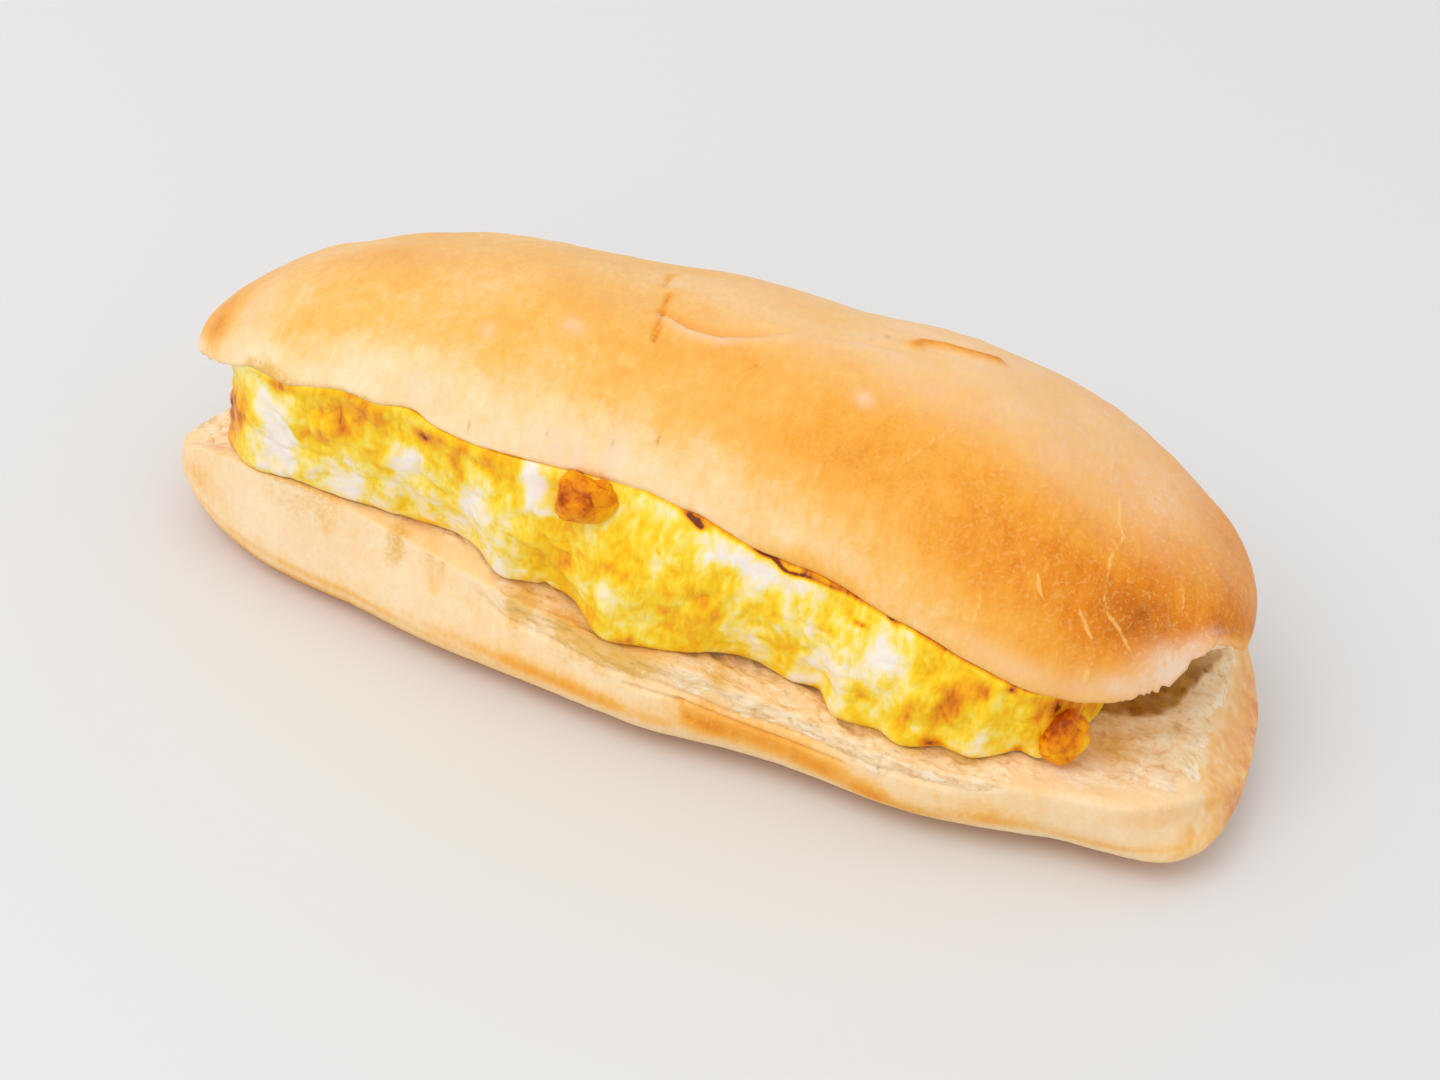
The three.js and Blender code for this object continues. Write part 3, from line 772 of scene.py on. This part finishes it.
# Where the torn edge of the upper half stands over the cut face, as [x, y], and the crumb
# behind it in the lid's shade, which is painted on as a darker brown.
UNDER_LID = [[74, -17], [81, -15], [86, -13.5], [89.5, -9], [92, -4], [94, 1], [96.2, 7], [98.5, 14]]
LID_SHADE = {"along": (70, 77), "edge": (-0.8, 2.8), "ragged": 0.8, "lighter": 0.6, "back": (2, 16)}
# Egg on the bread before the omelette, as [x, y, half x, half y, strength].
EGG_SMEARS = [
    [-26, -31.5, 2.6, 5, 0.85], [-51, -24.5, 2.8, 2.6, 0.8], [-10, -36, 7, 6, 0.95],
    [-17, -34, 3, 5, 0.6], [-2, -36, 4, 5, 0.5], [12, -34, 2, 5, 0.4], [48, -33, 3, 4, 0.5],
    [58, -33, 3, 4, 0.3], [73, -27, 3, 5, 0.6], [81, -22, 4, 4, 0.6], [-74, -21, 6, 3, 0.5],
    [-66, -23.5, 4, 3, 0.5],
]
# How far the omelette's foot stands behind the front lip, as [x, mm], and how the bread
# before it is smeared with egg and darkened in a line along the foot.
EGG_FOOT = [
    [-90, 1], [-62, 3], [-50, 6.3], [-38, 8.5], [-31, 4.5], [-25, 7.5], [-18, 8], [-10, 1.5],
    [0, 4], [15, 9.8], [24, 8], [29, 8.7], [33, 4], [41, 5.5], [45, 3.8], [52, 6.8], [58, 6],
    [65, 10], [69, 6.5],
]
BY_THE_EGG = {"middle": -8, "ends": (82, 74), "smear": 0.6, "reach": 2.4}
SMEAR_TONE = 0.5
SMEAR_LUMPS = [[0.5, 5, 5]]
FOOT_LINE = {"share": 0.5, "before": 1.6, "half": 0.8}
# Cuts and tears in the skin under the lip, as [x, turn] points.
NICKS = [
    [[-44.4, -0.02], [-43.6, 0.05], [-42.8, 0.11]], [[-41.4, -0.02], [-42, 0.05], [-42.8, 0.11]],
    [[6, 0.1], [7.4, 0.17], [8, 0.22]],
]
TORN_LINES = [
    [[-34, 0.02], [-28, 0.055], [-20, 0.05], [-10, 0.075], [2, 0.055], [14, 0.07], [26, 0.05],
     [40, 0.045], [56, 0.03]],
    [[-4, 0.115], [8, 0.105], [20, 0.12], [36, 0.1]],
]

# Where the crumb shows, in mm: it is torn down over the lip along the middle, the smooth
# crust comes in over the lip at the left end, and both blend at the right. RAG is how
# ragged the edges between them are.
RAG = [[1.6, 6, 9], [1.2, 2.2, 4]]
TORN_LIP = {
    "reach": 3.4, "left": (-36, -22), "starts": (-36, -26), "less": 6, "right": (50, 76),
    "edge": 0.6,
}
SMOOTH_LIP = {"reach": 7, "along": (-26, -36), "edge": 2}
SOFT_LIP = {"share": 0.75, "along": (50, 72), "half": 7}
LOWER_LUMPS = [[0.35, 20, 2], [0.16, 7, 6], [0.05, 2.5]]
CRUMB_LUMPS = [[0.6, (8, 3, 2.5), 8], [0.35, (3, 1.6, 1.6), 3]]
END_LUMPS = [[0.3, 2.4, 1]]
LOWER_RELIEF = {"nick": [-0.7, 0.8], "tear": [-0.6, 0.6]}
LOWER_PORES = {"reach": 0.45, "size": (3.4, 2.4, 2)}
SKIN_RISE = 0.7  # share of their height that bumps on the skin keep
NEAR_FLOOR = (0.6, 0.1)  # heights in mm between which the relief dies out

# How brown, scorched and stained by egg: on the skin, below and at the back, on the cut,
# and in its marks and wrinkles. The lid's shade on the cut face is painted with the scorch
# and stain colours as well.
SKIN_TOAST = 0.07
CUT_TOAST = 0.1
BELOW = {"toast": 0.55, "front": (0.5, 0.8), "back": (2.6, 2.3)}
BACK = {"toast": 0.36, "turns": (2, 2.9)}
LOWER_TOAST_LUMPS = [[0.05, 10, 7]]
END_SPECKLE = [[0.22, 3, 1], [0.2, (1, 1, 2.4), 2]]
NICK_TOAST = {"nick": [0.14, 0.8]}
LOWER_SCORCH = {"tear": [0.25, 0.35], "nick": [0.12, 0.5]}
WRINKLES = [[1, (8, 2.6, 2.6), 12]]
WRINKLE_HALF = 0.07
WRINKLE_SCORCH = 0.36
# How dark the painted shade under the lid is
PAINTED_LID_SHADE_DARK = 0.85
CRUMB_STAIN = 0.34
# How much egg-coloured tint the painted shade under the lid has
PAINTED_LID_SHADE_TINT = 0.2
STAINED_SKIN = 0.12  # turn over which a smear dies out on the skin


def lower_front(x):
    """Half width of the lower half towards the front."""
    return along(LOWER_FRONT, x) * taper(x, LOWER_FRONT_TIPS)


def lower_back(x):
    """Half width of the lower half towards the hinge."""
    return along(LOWER_BACK, x) * taper(x, LOWER_BACK_TIPS)


def lower_setback(x):
    """How far the front lip stands back behind the belly under it."""
    return along(LOWER_LIP_SETBACK, x) * lower_front(x) / FULL_WIDTH


def lower_lip(x):
    """Where the front lip is, across the roll."""
    return lower_setback(x) - lower_front(x)


def lower_level(x):
    """Height of the lower cut: the knife's level, dropping at both ends."""
    return along(CUT, x) - along(LOWER_END_DROP, x)


def lower_cut(x, y):
    """The lower cut face: level, with the hinge's crumb and the lip's lift."""
    lift = along(LOWER_LIP_LIFT, x) * smooth_step(y / lower_lip(x), LIP_FROM, 1)
    return lower_level(x) + hinge_crumb(y) + lift


def lower_skin(x, turn):
    """The boat: a superellipse below the cut, from the front lip (turn 0) under the pressed
    flat base to the back edge (turn pi), the belly standing out under the lip."""
    front = np.maximum(np.cos(turn), 0)
    width = np.where(front > 0, lower_front(x), lower_back(x))
    belly = lower_setback(x) * front * (2 * np.sin(turn) - 1)
    y = -width * signed_power(np.cos(turn), LOWER_SIDE_POWER) - belly
    pressed = np.minimum(BASE_PRESSED * np.sin(turn) ** BASE_POWER, 1)
    lift = along(LOWER_LIP_LIFT, x) * front**LIP_POWER
    depth = lower_level(x) * taper(x, LOWER_DEPTH_TIPS) + lift
    return spread(x, y, lower_level(x) + lift - depth * pressed)


x = stations_between(LOWER_FRONT_TIPS, LOWER_STATIONS)[:, None]
turn = even_turns(lower_skin, LOWER_STEPS["skin"], **LOWER_CROWDING)[None, :]
forward = 1 - (1 - np.arange(LOWER_STEPS["cut"]) / LOWER_STEPS["cut"]) ** CUT_CROWDING
face_y = lower_back(x) + (lower_lip(x) - lower_back(x)) * forward[None, :]
loops = np.concatenate([lower_skin(x, turn), spread(x, face_y, lower_cut(x, face_y))], 1)
skin_steps = LOWER_STEPS["skin"]
loops = rounded(loops, 0, **LIP_ROUND)
loops = rounded(loops, skin_steps, **LIP_ROUND)
softer = smooth_step(x, *SOFT_END)[..., None]
loops = loops + (rounded(loops, 0, **SOFT_END_ROUND) - loops) * softer

turn_all = np.concatenate([turn, np.zeros((1, LOWER_STEPS["cut"]))], 1)
skin = np.where(np.arange(loops.shape[1]) < skin_steps, 1.0, 0.0)[None, :]
from_lip = np.linalg.norm(loops - loops[:, [0]], axis=-1)
flat = spread(x, turn_all * MM_PER_TURN)
off = {
    name: distance_to(flat, [np.array(line) * [1, MM_PER_TURN] for line in drawn])
    + FAR_OFF * (1 - skin)
    for name, drawn in (("nick", NICKS), ("tear", TORN_LINES))
}

rag = lumps(loops, RAG)
torn_reach = TORN_LIP["reach"] * smooth_step(x, *TORN_LIP["left"]) + rag
torn_reach = torn_reach - TORN_LIP["less"] * smooth_step(x, *TORN_LIP["right"])
torn = smooth_step(torn_reach - from_lip, -TORN_LIP["edge"], TORN_LIP["edge"])
crumb = np.where(skin > 0, torn * smooth_step(x, *TORN_LIP["starts"]), 1)
smooth_lip = smooth_step(SMOOTH_LIP["reach"] + rag - from_lip, 0, SMOOTH_LIP["edge"])
smooth_lip = (1 - skin) * smooth_step(x, *SMOOTH_LIP["along"]) * smooth_lip
soft_lip = smooth_step(x, *SOFT_LIP["along"]) * bell(from_lip, SOFT_LIP["half"]) * (1 - skin)
past_edge = x + END_CRUST["ragged"] * rag - END_CRUST["from"]
end_crust = smooth_step(past_edge, -END_CRUST["edge"], END_CRUST["edge"])
crumb = np.minimum(crumb - SOFT_LIP["share"] * soft_lip - smooth_lip, 1 - end_crust)

pores = crumb_pores(loops, **LOWER_PORES)
relief = (1 - smooth_step(loops[..., 2], *NEAR_FLOOR)) * (
    skin * lumps(loops, LOWER_LUMPS)
    + marked(off, LOWER_RELIEF)
    + crumb * (lumps(loops, CRUMB_LUMPS) - pores)
    + end_crust * lumps(loops, END_LUMPS)
)
relief = np.where((relief > 0) & (skin > 0), relief * SKIN_RISE, relief)
loops = raised(loops, relief, LOWER_FRONT_TIPS)
loops[..., 2] = np.maximum(loops[..., 2], 0)

cut_y = loops[..., 1]
# Painted shade under the lid: the crumb just behind the lid's torn edge is darkened, less towards the
# back.
behind_edge = cut_y - along(UNDER_LID, x) + LID_SHADE["ragged"] * rag
painted_lid_shade = smooth_step(x, *LID_SHADE["along"]) * smooth_step(behind_edge, *LID_SHADE["edge"])
painted_lid_shade = painted_lid_shade * (1 - LID_SHADE["lighter"] * smooth_step(cut_y, *LID_SHADE["back"]))
painted_lid_shade = painted_lid_shade * (1 - end_crust) * (1 - skin)
below = smooth_step(turn_all, *BELOW["front"]) * smooth_step(turn_all, *BELOW["back"])
toast = CUT_TOAST * (1 - skin) + skin * (
    SKIN_TOAST
    + BELOW["toast"] * below
    + BACK["toast"] * smooth_step(turn_all, *BACK["turns"])
    + patches(x, turn_all, LOWER_TOAST)
    + lumps(loops, LOWER_TOAST_LUMPS)
    + marked(off, NICK_TOAST)
)
end_toast = END_CRUST["toast"] + END_CRUST["more"] * smooth_step(x, *END_CRUST["along"])
toast = toast + end_crust * (end_toast + lumps(loops, END_SPECKLE) - toast)
before_foot = lower_lip(x) + along(EGG_FOOT, x) - cut_y
by_the_egg = (1 - skin) * smooth_step(np.abs(x - BY_THE_EGG["middle"]), *BY_THE_EGG["ends"])
by_the_egg = by_the_egg * (SMEAR_TONE + lumps(loops, SMEAR_LUMPS))
smears = patches(x, cut_y, EGG_SMEARS)
smears = smears + BY_THE_EGG["smear"] * by_the_egg * bell(before_foot, BY_THE_EGG["reach"])
# A dark line on the bread just before the omelette's foot.
dark_foot_line = by_the_egg * bell(before_foot - FOOT_LINE["before"], FOOT_LINE["half"])
wrinkles = crumb * bell(lumps(loops, WRINKLES), WRINKLE_HALF)
lower_fields = {
    "toast": toast,
    "pale": patches(x, turn_all, LOWER_PALE) * skin + END_CRUST["pale"] * end_crust * (1 - skin),
    "scorch_and_shade": marked(off, LOWER_SCORCH) + PAINTED_LID_SHADE_DARK * painted_lid_shade
    + FOOT_LINE["share"] * dark_foot_line + WRINKLE_SCORCH * wrinkles,
    "crackle": FAR_OFF,
    "crumb": crumb,
    "stain_and_shade": CRUMB_STAIN * crumb + PAINTED_LID_SHADE_TINT * painted_lid_shade
    + smears * (1 - skin + bell(turn_all, STAINED_SKIN) * skin),
}
lower_half = make_piece("lower_half", loops, lower_fields, bread)
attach(lower_half, "root")
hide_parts("roll")

# The omelette
# Beaten egg fried in a flat pan and folded into the roll. Its front bulges out of the
# slit in soft curds, yellow with white streaks, and browned along the pan's edge.
EGG_TIPS = {"left": (-93, 12, 2), "right": (80, 16, 2)}
EGG_SWELL = [[-90, 1.5], [-50, 3], [-10, 5], [25, 4], [70, 2]]
EGG_SWELL_POWER = 0.7
EGG_BACK_Y = 14
EGG_TUCK = 1.5  # mm behind the upper lip
GAP = 0.5  # mm between egg and bread
EGG_STATIONS = 480
EGG_STEPS = {"front": 150, "face": 15}

# Patches as [x, way down from the lip, half length, half way, change]: paler where the
# change is above 0, yellow, amber and browned where it is below. The last row is painted
# shade in the gap under the upper lip.
EGG_TONES = [
    [-88, 0.5, 3.2, 0.22, -0.42], [-89, 0.85, 3, 0.2, -0.34], [-83.5, 0.45, 2.6, 0.2, -0.4],
    [-86, 0.12, 4, 0.12, 0.12], [-73, 0.06, 3, 0.06, -0.4], [-77.5, 0.6, 3, 0.26, 0.3],
    [-73.5, 0.45, 2.6, 0.26, 0.36], [-73.5, 0.8, 3, 0.2, 0.3], [-70, 0.48, 1.2, 0.1, -0.36],
    [-64.5, 0.18, 3.4, 0.2, -0.28], [-61, 0.28, 2, 0.1, -0.26], [-64, 0.45, 2.4, 0.14, -0.22],
    [-57, 0.1, 5, 0.18, -0.3], [-53, 0.08, 2, 0.08, -0.12], [-62, 0.78, 3.6, 0.16, 0.36],
    [-54, 0.48, 1.4, 0.06, -0.2], [60, 0.5, 11, 0.5, -0.1],
    [-49, 0.38, 3.2, 0.1, 0.3], [-47, 0.7, 5, 0.22, 0.18], [-46, 0.12, 2, 0.06, -0.42],
    [-42.5, 0.1, 2, 0.1, -0.15], [-39.3, 0.16, 1.4, 0.2, -0.36], [-34, 0.05, 3.4, 0.06, -0.3],
    [-35, 0.6, 6, 0.35, 0.2], [-31, 0.88, 2, 0.12, 0.1], [-28.5, 0.15, 1.8, 0.2, -0.14],
    [-26.3, 0.05, 1, 0.08, 0.4], [-25, 0.15, 1.2, 0.08, 0.36], [-22.5, 0.26, 2, 0.05, 0.34],
    [-19, 0.52, 5, 0.2, -0.24], [-21, 0.68, 3, 0.1, -0.1], [-8.5, 0.4, 2.6, 0.12, -0.26],
    [-11, 0.62, 2.4, 0.08, 0.12], [-14, 0.9, 5, 0.12, -0.1], [-7, 0.97, 4, 0.06, -0.44],
    [0, 0.28, 1.4, 0.14, -0.16], [1, 0.75, 3, 0.12, -0.22], [9, 0.1, 6, 0.1, 0.38],
    [19, 0.1, 6, 0.07, 0.26], [7.5, 0.65, 4, 0.32, -0.28], [14, 0.35, 2.5, 0.12, 0.12],
    [17, 0.45, 1.6, 0.1, -0.14], [16, 0.75, 2.2, 0.14, 0.2], [22.5, 0.66, 2, 0.12, -0.2],
    [29, 0.24, 3, 0.06, -0.22], [26, 0.88, 3, 0.1, 0.26], [29.5, 0.96, 1.4, 0.05, -0.36],
    [31, 0.5, 6, 0.3, 0.16], [38, 0.25, 3, 0.2, 0.18], [36, 0.68, 1.8, 0.06, -0.36],
    [37, 0.93, 1.6, 0.06, -0.3], [42, 0.3, 2, 0.2, 0.1], [47, 0.1, 3, 0.12, -0.2],
    [50.3, 0.42, 2.4, 0.12, -0.28], [56.5, 0.17, 2.2, 0.12, -0.4], [52.5, 0.3, 3, 0.2, -0.26],
    [45.5, 0.66, 1.6, 0.14, -0.28], [50, 0.7, 2, 0.2, -0.24], [50, 0.96, 3, 0.06, -0.44],
    [57.5, 0.75, 2.4, 0.2, 0.16], [61, 0.07, 0.8, 0.05, -0.46], [65, 0.92, 1.2, 0.08, -0.44],
    [66, 0.3, 1.6, 0.2, -0.2], [70, 0.2, 3, 0.3, -0.4], [75, 0.6, 3, 0.4, -0.34],
    [-3, 0.26, 0.4, 0.014, -0.5], [-29.4, 0.5, 0.4, 0.02, -0.3], [34.3, 0.15, 0.6, 0.02, -0.5],
    # Painted shade of the gap under the upper lip, as a dark line right at the top.
    [2.4, 0.01, 1.4, 0.02, -0.9], [20, 0.012, 9, 0.018, -0.7], [38, 0.01, 1.6, 0.02, -0.6],
]
EGG_TONE = 0.59
EGG_COLOURS = [
    (0.0, (120, 52, 10)), (0.06, (196, 106, 6)), (0.15, (226, 134, 4)), (0.28, (246, 168, 6)),
    (0.43, (252, 200, 6)), (0.55, (255, 216, 52)), (0.65, (255, 228, 114)), (0.76, (254, 233, 180)),
    (0.9, (250, 238, 226)),
]
# How the egg looks close up, as for the bread.
EGG_GRAINS = {"broad": (3.4, 2, (1, 0.4, 0.4)), "fine": (1, 2, (1, 0.4, 0.4))}
EGG_WARP = (5, 3)  # size and amount in mm
CLOUD_SIZE = 5
TONE_WEIGHTS = {"broad": 0.6, "clouds": 0.5, "fine": 0.45}
EGG_ROUGHNESS = 0.45
ROUGHNESS_WEIGHTS = {"fine": 0.3}
EGG_FINISH = {
    "bump": 0.25, "bump depth": 0.5, "Subsurface Weight": 0.15, "Subsurface Radius": (1, 0.6, 0.2),
    "Subsurface Scale": 2 * MM, "Specular IOR Level": 0.25,
}

EGG_LIP_RISE = 1  # mm by which the egg stands up behind the rounded edge of the upper lip
# Egg pressed out against the upper lip, less at the right, and over the bread at its foot.
PRESSED = [
    {"at": 0.02, "half": 0.08, "out": 1, "less": 0.5},
    {"at": 0.94, "half": 0.1, "out": 0.9, "less": 0},
]
RIGHT_PART = (-12, 0)
# Relief of the front as for the crust. The folds are creased where their noise goes
# through 0, and the tone is a little deeper there and at the lip: painted shade in the
# creases and in the gap under the upper lip.
EGG_PUSH = [[2.4, 7, 3]]
EGG_FOLDS = {"lobes": [1.6, (5, 8, 8), 0], "curds": [0.5, (2.4, 3.6, 3.6), 7]}
EGG_LUMPS = [[0.05, 1.1, 2], [0.5, 14, 5]]
EGG_SUNK = 0.7
FRONT_POWER = 0.4  # of the relief's rise from the edges of the front
FOLD_SHADE = {"lobes": [-0.05, 0.096], "curds": [-0.03, 0.03]}
LIP_GAP_SHADE = {"change": -0.3, "at": 0.006, "half": 0.014}
RAGGED_X = [[1.6, 4, 2]]  # these two make the edges of the patches ragged
RAGGED_DOWN = [[0.06, 4, 11]]


def egg_loops(x, down, along_face):
    """The wedge's loops: its front goes from behind the upper lip down to the foot, swelling
    out as a power of a sine, then back along the lower cut face and forward under the lid."""
    end = taper(x, EGG_TIPS)
    back_y = np.minimum(EGG_BACK_Y, np.minimum(lower_back(x), upper_width(x)) - GAP)
    foot_y = back_y + (lower_lip(x) + along(EGG_FOOT, x) - back_y) * end
    lip_y = back_y + (EGG_TUCK - upper_width(x) - back_y) * end
    top = opened(x, lip_y, upper_cut(x, lip_y) + EGG_LIP_RISE * end)
    foot_z = lower_cut(x, foot_y) + GAP
    swell = end * along(EGG_SWELL, x) * np.sin(np.pi * down) ** EGG_SWELL_POWER
    front_y = top[..., 1] + (foot_y - top[..., 1]) * down - swell
    front_z = top[..., 2] + (foot_z - top[..., 2]) * down
    under_y = foot_y + (back_y - foot_y) * along_face
    over_y = back_y + (lip_y - back_y) * along_face
    return np.concatenate(
        [
            spread(x, front_y, front_z),
            spread(x, under_y, lower_cut(x, under_y) + GAP),
            opened(x, over_y, upper_cut(x, over_y) - GAP),
        ],
        1,
    )


def egg_material():
    """One row of colours from browned over amber and yellow to white, by the tone number, which
    holds painted shade in the creases of the folds and in the gap under the upper lip, and by
    streaks that run down the front, moist."""
    made, tree, shader, place = new_material("egg")
    soft = warped(tree, place, *EGG_WARP)
    grains = {name: grain(tree, soft, *sizes) for name, sizes in EGG_GRAINS.items()}
    grains["clouds"] = grain(tree, place, CLOUD_SIZE)
    tone = weighted(tree, attribute(tree, "tone"), grains, TONE_WEIGHTS)
    roughness = weighted(tree, EGG_ROUGHNESS, grains, ROUGHNESS_WEIGHTS)
    finished(tree, shader, ramp(tree, tone, EGG_COLOURS), roughness, grains["broad"], EGG_FINISH)
    return made


x = stations_between(EGG_TIPS, EGG_STATIONS)[:, None]
down = np.arange(EGG_STEPS["front"])[None, :] / EGG_STEPS["front"]
along_face = np.arange(EGG_STEPS["face"])[None, :] / EGG_STEPS["face"]
loops = egg_loops(x, down, along_face)
face = np.zeros((1, EGG_STEPS["face"]))
down_all = np.concatenate([down, face + 1, face], 1)
front = np.concatenate([np.sin(np.pi * down) ** FRONT_POWER, face, face], 1)

pushed = loops + lumps(loops, EGG_PUSH)[..., None]
folds = {name: np.abs(lumps(pushed, [layer])) for name, layer in EGG_FOLDS.items()}
relief = front * (sum(folds.values()) + lumps(loops, EGG_LUMPS) - EGG_SUNK)
right_part = smooth_step(x, *RIGHT_PART)
for pressed in PRESSED:
    push = pressed["out"] * bell(down_all - pressed["at"], pressed["half"]) * (front > 0)
    relief = relief + push * (1 - pressed["less"] * right_part)
loops = raised(loops, relief, EGG_TIPS)
# The tone is deepened in the creases of the folds as painted shade.
tone = EGG_TONE + marked(folds, FOLD_SHADE) + patches(
    x + lumps(loops, RAGGED_X), down_all + lumps(loops, RAGGED_DOWN), EGG_TONES
)
# Painted shade in the gap under the upper lip, on the right part.
tone = tone + LIP_GAP_SHADE["change"] * right_part * bell(down_all - LIP_GAP_SHADE["at"], LIP_GAP_SHADE["half"])
egg_fold = make_piece("egg_fold", loops, {"tone": tone}, egg_material())
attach(egg_fold, "root")
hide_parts("omelette")

# The two browned curds
# Lobes of egg that caught on the hot pan: folded on themselves, orange with darker
# scorched spots, and leaning on the omelette's front under the upper lip.
# The spots are [place on the lobe, half width, change towards charred].
CURDS = {
    "middle_curd": {
        "at": (-16.2, -33.4, 52.4), "size": (5.8, 5, 4.8), "lean": 25,
        "spots": [[(-1.6, -4, -2), 1.5, 0.36], [(-3.6, -2, 3.4), 2, 0.42], [(1, -2, 4.6), 2.2, 0.3],
                  [(5, -1, -1), 2.4, -0.36], [(2, -3, -4), 2.4, -0.36], [(-5.6, -1, -1.4), 1.6, -0.1]],
    },
    "end_curd": {
        "at": (71.6, -29.5, 25.7), "size": (4.6, 4.4, 5.8), "lean": -18,
        "spots": [[(-1, -3, 4.2), 2.6, 0.46], [(-2.6, -3, 1), 1.6, 0.3], [(4.6, -1, -1), 1.9, -0.42],
                  [(2.2, -3.4, 0.6), 1.1, 0.2], [(-1.5, -4, -4), 1.8, -0.15]],
    },
}
CURD_GRAIN = {"broad": 2, "fine": 0.7}
CURD_WARP = (3, 2)
CHAR_WEIGHTS = {"broad": 0.8, "fine": 0.35}
CURD_FINISH = {
    **EGG_FINISH, "bump": 0.3, "bump depth": 0.4, "Subsurface Radius": (1, 0.5, 0.15),
    "Subsurface Scale": 1.5 * MM, "Specular IOR Level": 0.15,
}
CURD_POWER = 0.8
CURD_WAVES = [[0.1, 3, 2], [0.06, 2, -3]]  # share, times round the lobe and times up it
CURD_RINGS = 90
CURD_SIDES = 140
CURD_FOLDS = [[0.9, 3.4, 6]]
CURD_LUMPS = [[0.05, 1.2, 0]]
CURD_SUNK = 0.9
# The char number: over all, and more in the creases of the folds as painted shade.
CHAR = {"all": 0.42, "creases": 0.12, "half": 0.072}
CURD_COLOURS = [
    (0.05, (252, 196, 8)), (0.3, (242, 162, 0)), (0.52, (228, 132, 0)), (0.75, (188, 82, 0)),
    (1.0, (122, 48, 4)),
]


def curd_loops(size):
    """A folded lobe: rings of an ellipsoid from its foot up, pulled in by two waves that wind
    round it."""
    up = (np.pi * (1 - (np.arange(CURD_RINGS) + 0.5) / CURD_RINGS))[:, None]
    turn = (2 * np.pi * np.arange(CURD_SIDES) / CURD_SIDES)[None, :]
    folds = sum(share * np.cos(times_round * turn + times_up * up)
                for share, times_round, times_up in CURD_WAVES)
    across = np.sin(up) ** CURD_POWER * (1 - folds)
    return spread(across * np.cos(turn), across * np.sin(turn), np.cos(up)) * size


def curd_material():
    """Orange egg, darker with its char number, which holds scorched spots and painted shade in
    the creases of the folds, wet enough to shine.
    """
    made, tree, shader, place = new_material("browned_egg")
    grains = {
        "broad": grain(tree, warped(tree, place, *CURD_WARP), CURD_GRAIN["broad"]),
        "fine": grain(tree, place, CURD_GRAIN["fine"]),
    }
    tone = weighted(tree, attribute(tree, "char_and_shade"), grains, CHAR_WEIGHTS)
    roughness = weighted(tree, EGG_ROUGHNESS, grains, ROUGHNESS_WEIGHTS)
    finished(tree, shader, ramp(tree, tone, CURD_COLOURS), roughness, grains["broad"], CURD_FINISH)
    return made


browned_egg = curd_material()
for name, curd in CURDS.items():
    lobe = curd_loops(curd["size"])
    folds = np.abs(lumps(lobe, CURD_FOLDS))
    relief = folds + lumps(lobe, CURD_LUMPS) - CURD_SUNK
    lobe = lobe + relief[..., None] * outward(lobe)
    # Painted shade in the folds' creases, then the scorched spots.
    char_and_shade = CHAR["all"] + CHAR["creases"] * bell(folds, CHAR["half"])
    for spot, half, change in curd["spots"]:
        char_and_shade = char_and_shade + change * bell(np.linalg.norm(lobe - spot, axis=-1), half)
    lean = np.radians(curd["lean"])
    leant_y = lobe[..., 1] * np.cos(lean) - lobe[..., 2] * np.sin(lean)
    leant_z = lobe[..., 1] * np.sin(lean) + lobe[..., 2] * np.cos(lean)
    placed = np.stack([lobe[..., 0], leant_y, leant_z], -1) + curd["at"]
    piece = make_piece(name + "_lobe", placed, {"char_and_shade": char_and_shade}, browned_egg)
    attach(piece, "root")
    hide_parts(name)

# The studio
# A plain pale table top that runs out of the picture, soft daylight from all round,
# and one large soft lamp above the front.
FLOOR_SIZE = 6
FLOOR_TONES = [(226, 226, 226), (228, 228, 228)]
FLOOR_GRAIN = 300
FLOOR_ROUGHNESS = 0.8
DAYLIGHT = 0.8
LAMP = {"at": (-0.5, -0.7, 1.2), "size": 0.9, "watts": 7.5}

floor_material, tree, shader, place = new_material("table_top")
floor_colour = mixed(tree, grain(tree, place, FLOOR_GRAIN), *FLOOR_TONES)
tree.links.new(floor_colour, shader.inputs["Base Color"])
shader.inputs["Roughness"].default_value = FLOOR_ROUGHNESS
half = FLOOR_SIZE / 2
floor_mesh = bpy.data.meshes.new("table_top")
floor_mesh.from_pydata(
    [(-half, -half, 0), (half, -half, 0), (half, half, 0), (-half, half, 0)], [], [(0, 1, 2, 3)]
)
floor_mesh.materials.append(floor_material)
floor = bpy.data.objects.new("table_top", floor_mesh)
bpy.context.scene.collection.objects.link(floor)

world = bpy.data.worlds.new("studio")
world.use_nodes = True
daylight = world.node_tree.nodes["Background"]
daylight.inputs["Color"].default_value = (1, 1, 1, 1)
daylight.inputs["Strength"].default_value = DAYLIGHT
bpy.context.scene.world = world
bpy.context.scene.view_settings.view_transform = "Standard"

lamp = bpy.data.objects.new("lamp", bpy.data.lights.new("lamp", "AREA"))
lamp.data.size = LAMP["size"]
lamp.data.energy = LAMP["watts"]
lamp.location = LAMP["at"]
lamp.rotation_mode = "QUATERNION"
lamp.rotation_quaternion = Vector(AIM - LAMP["at"]).to_track_quat("-Z", "Y")
bpy.context.scene.collection.objects.link(lamp)
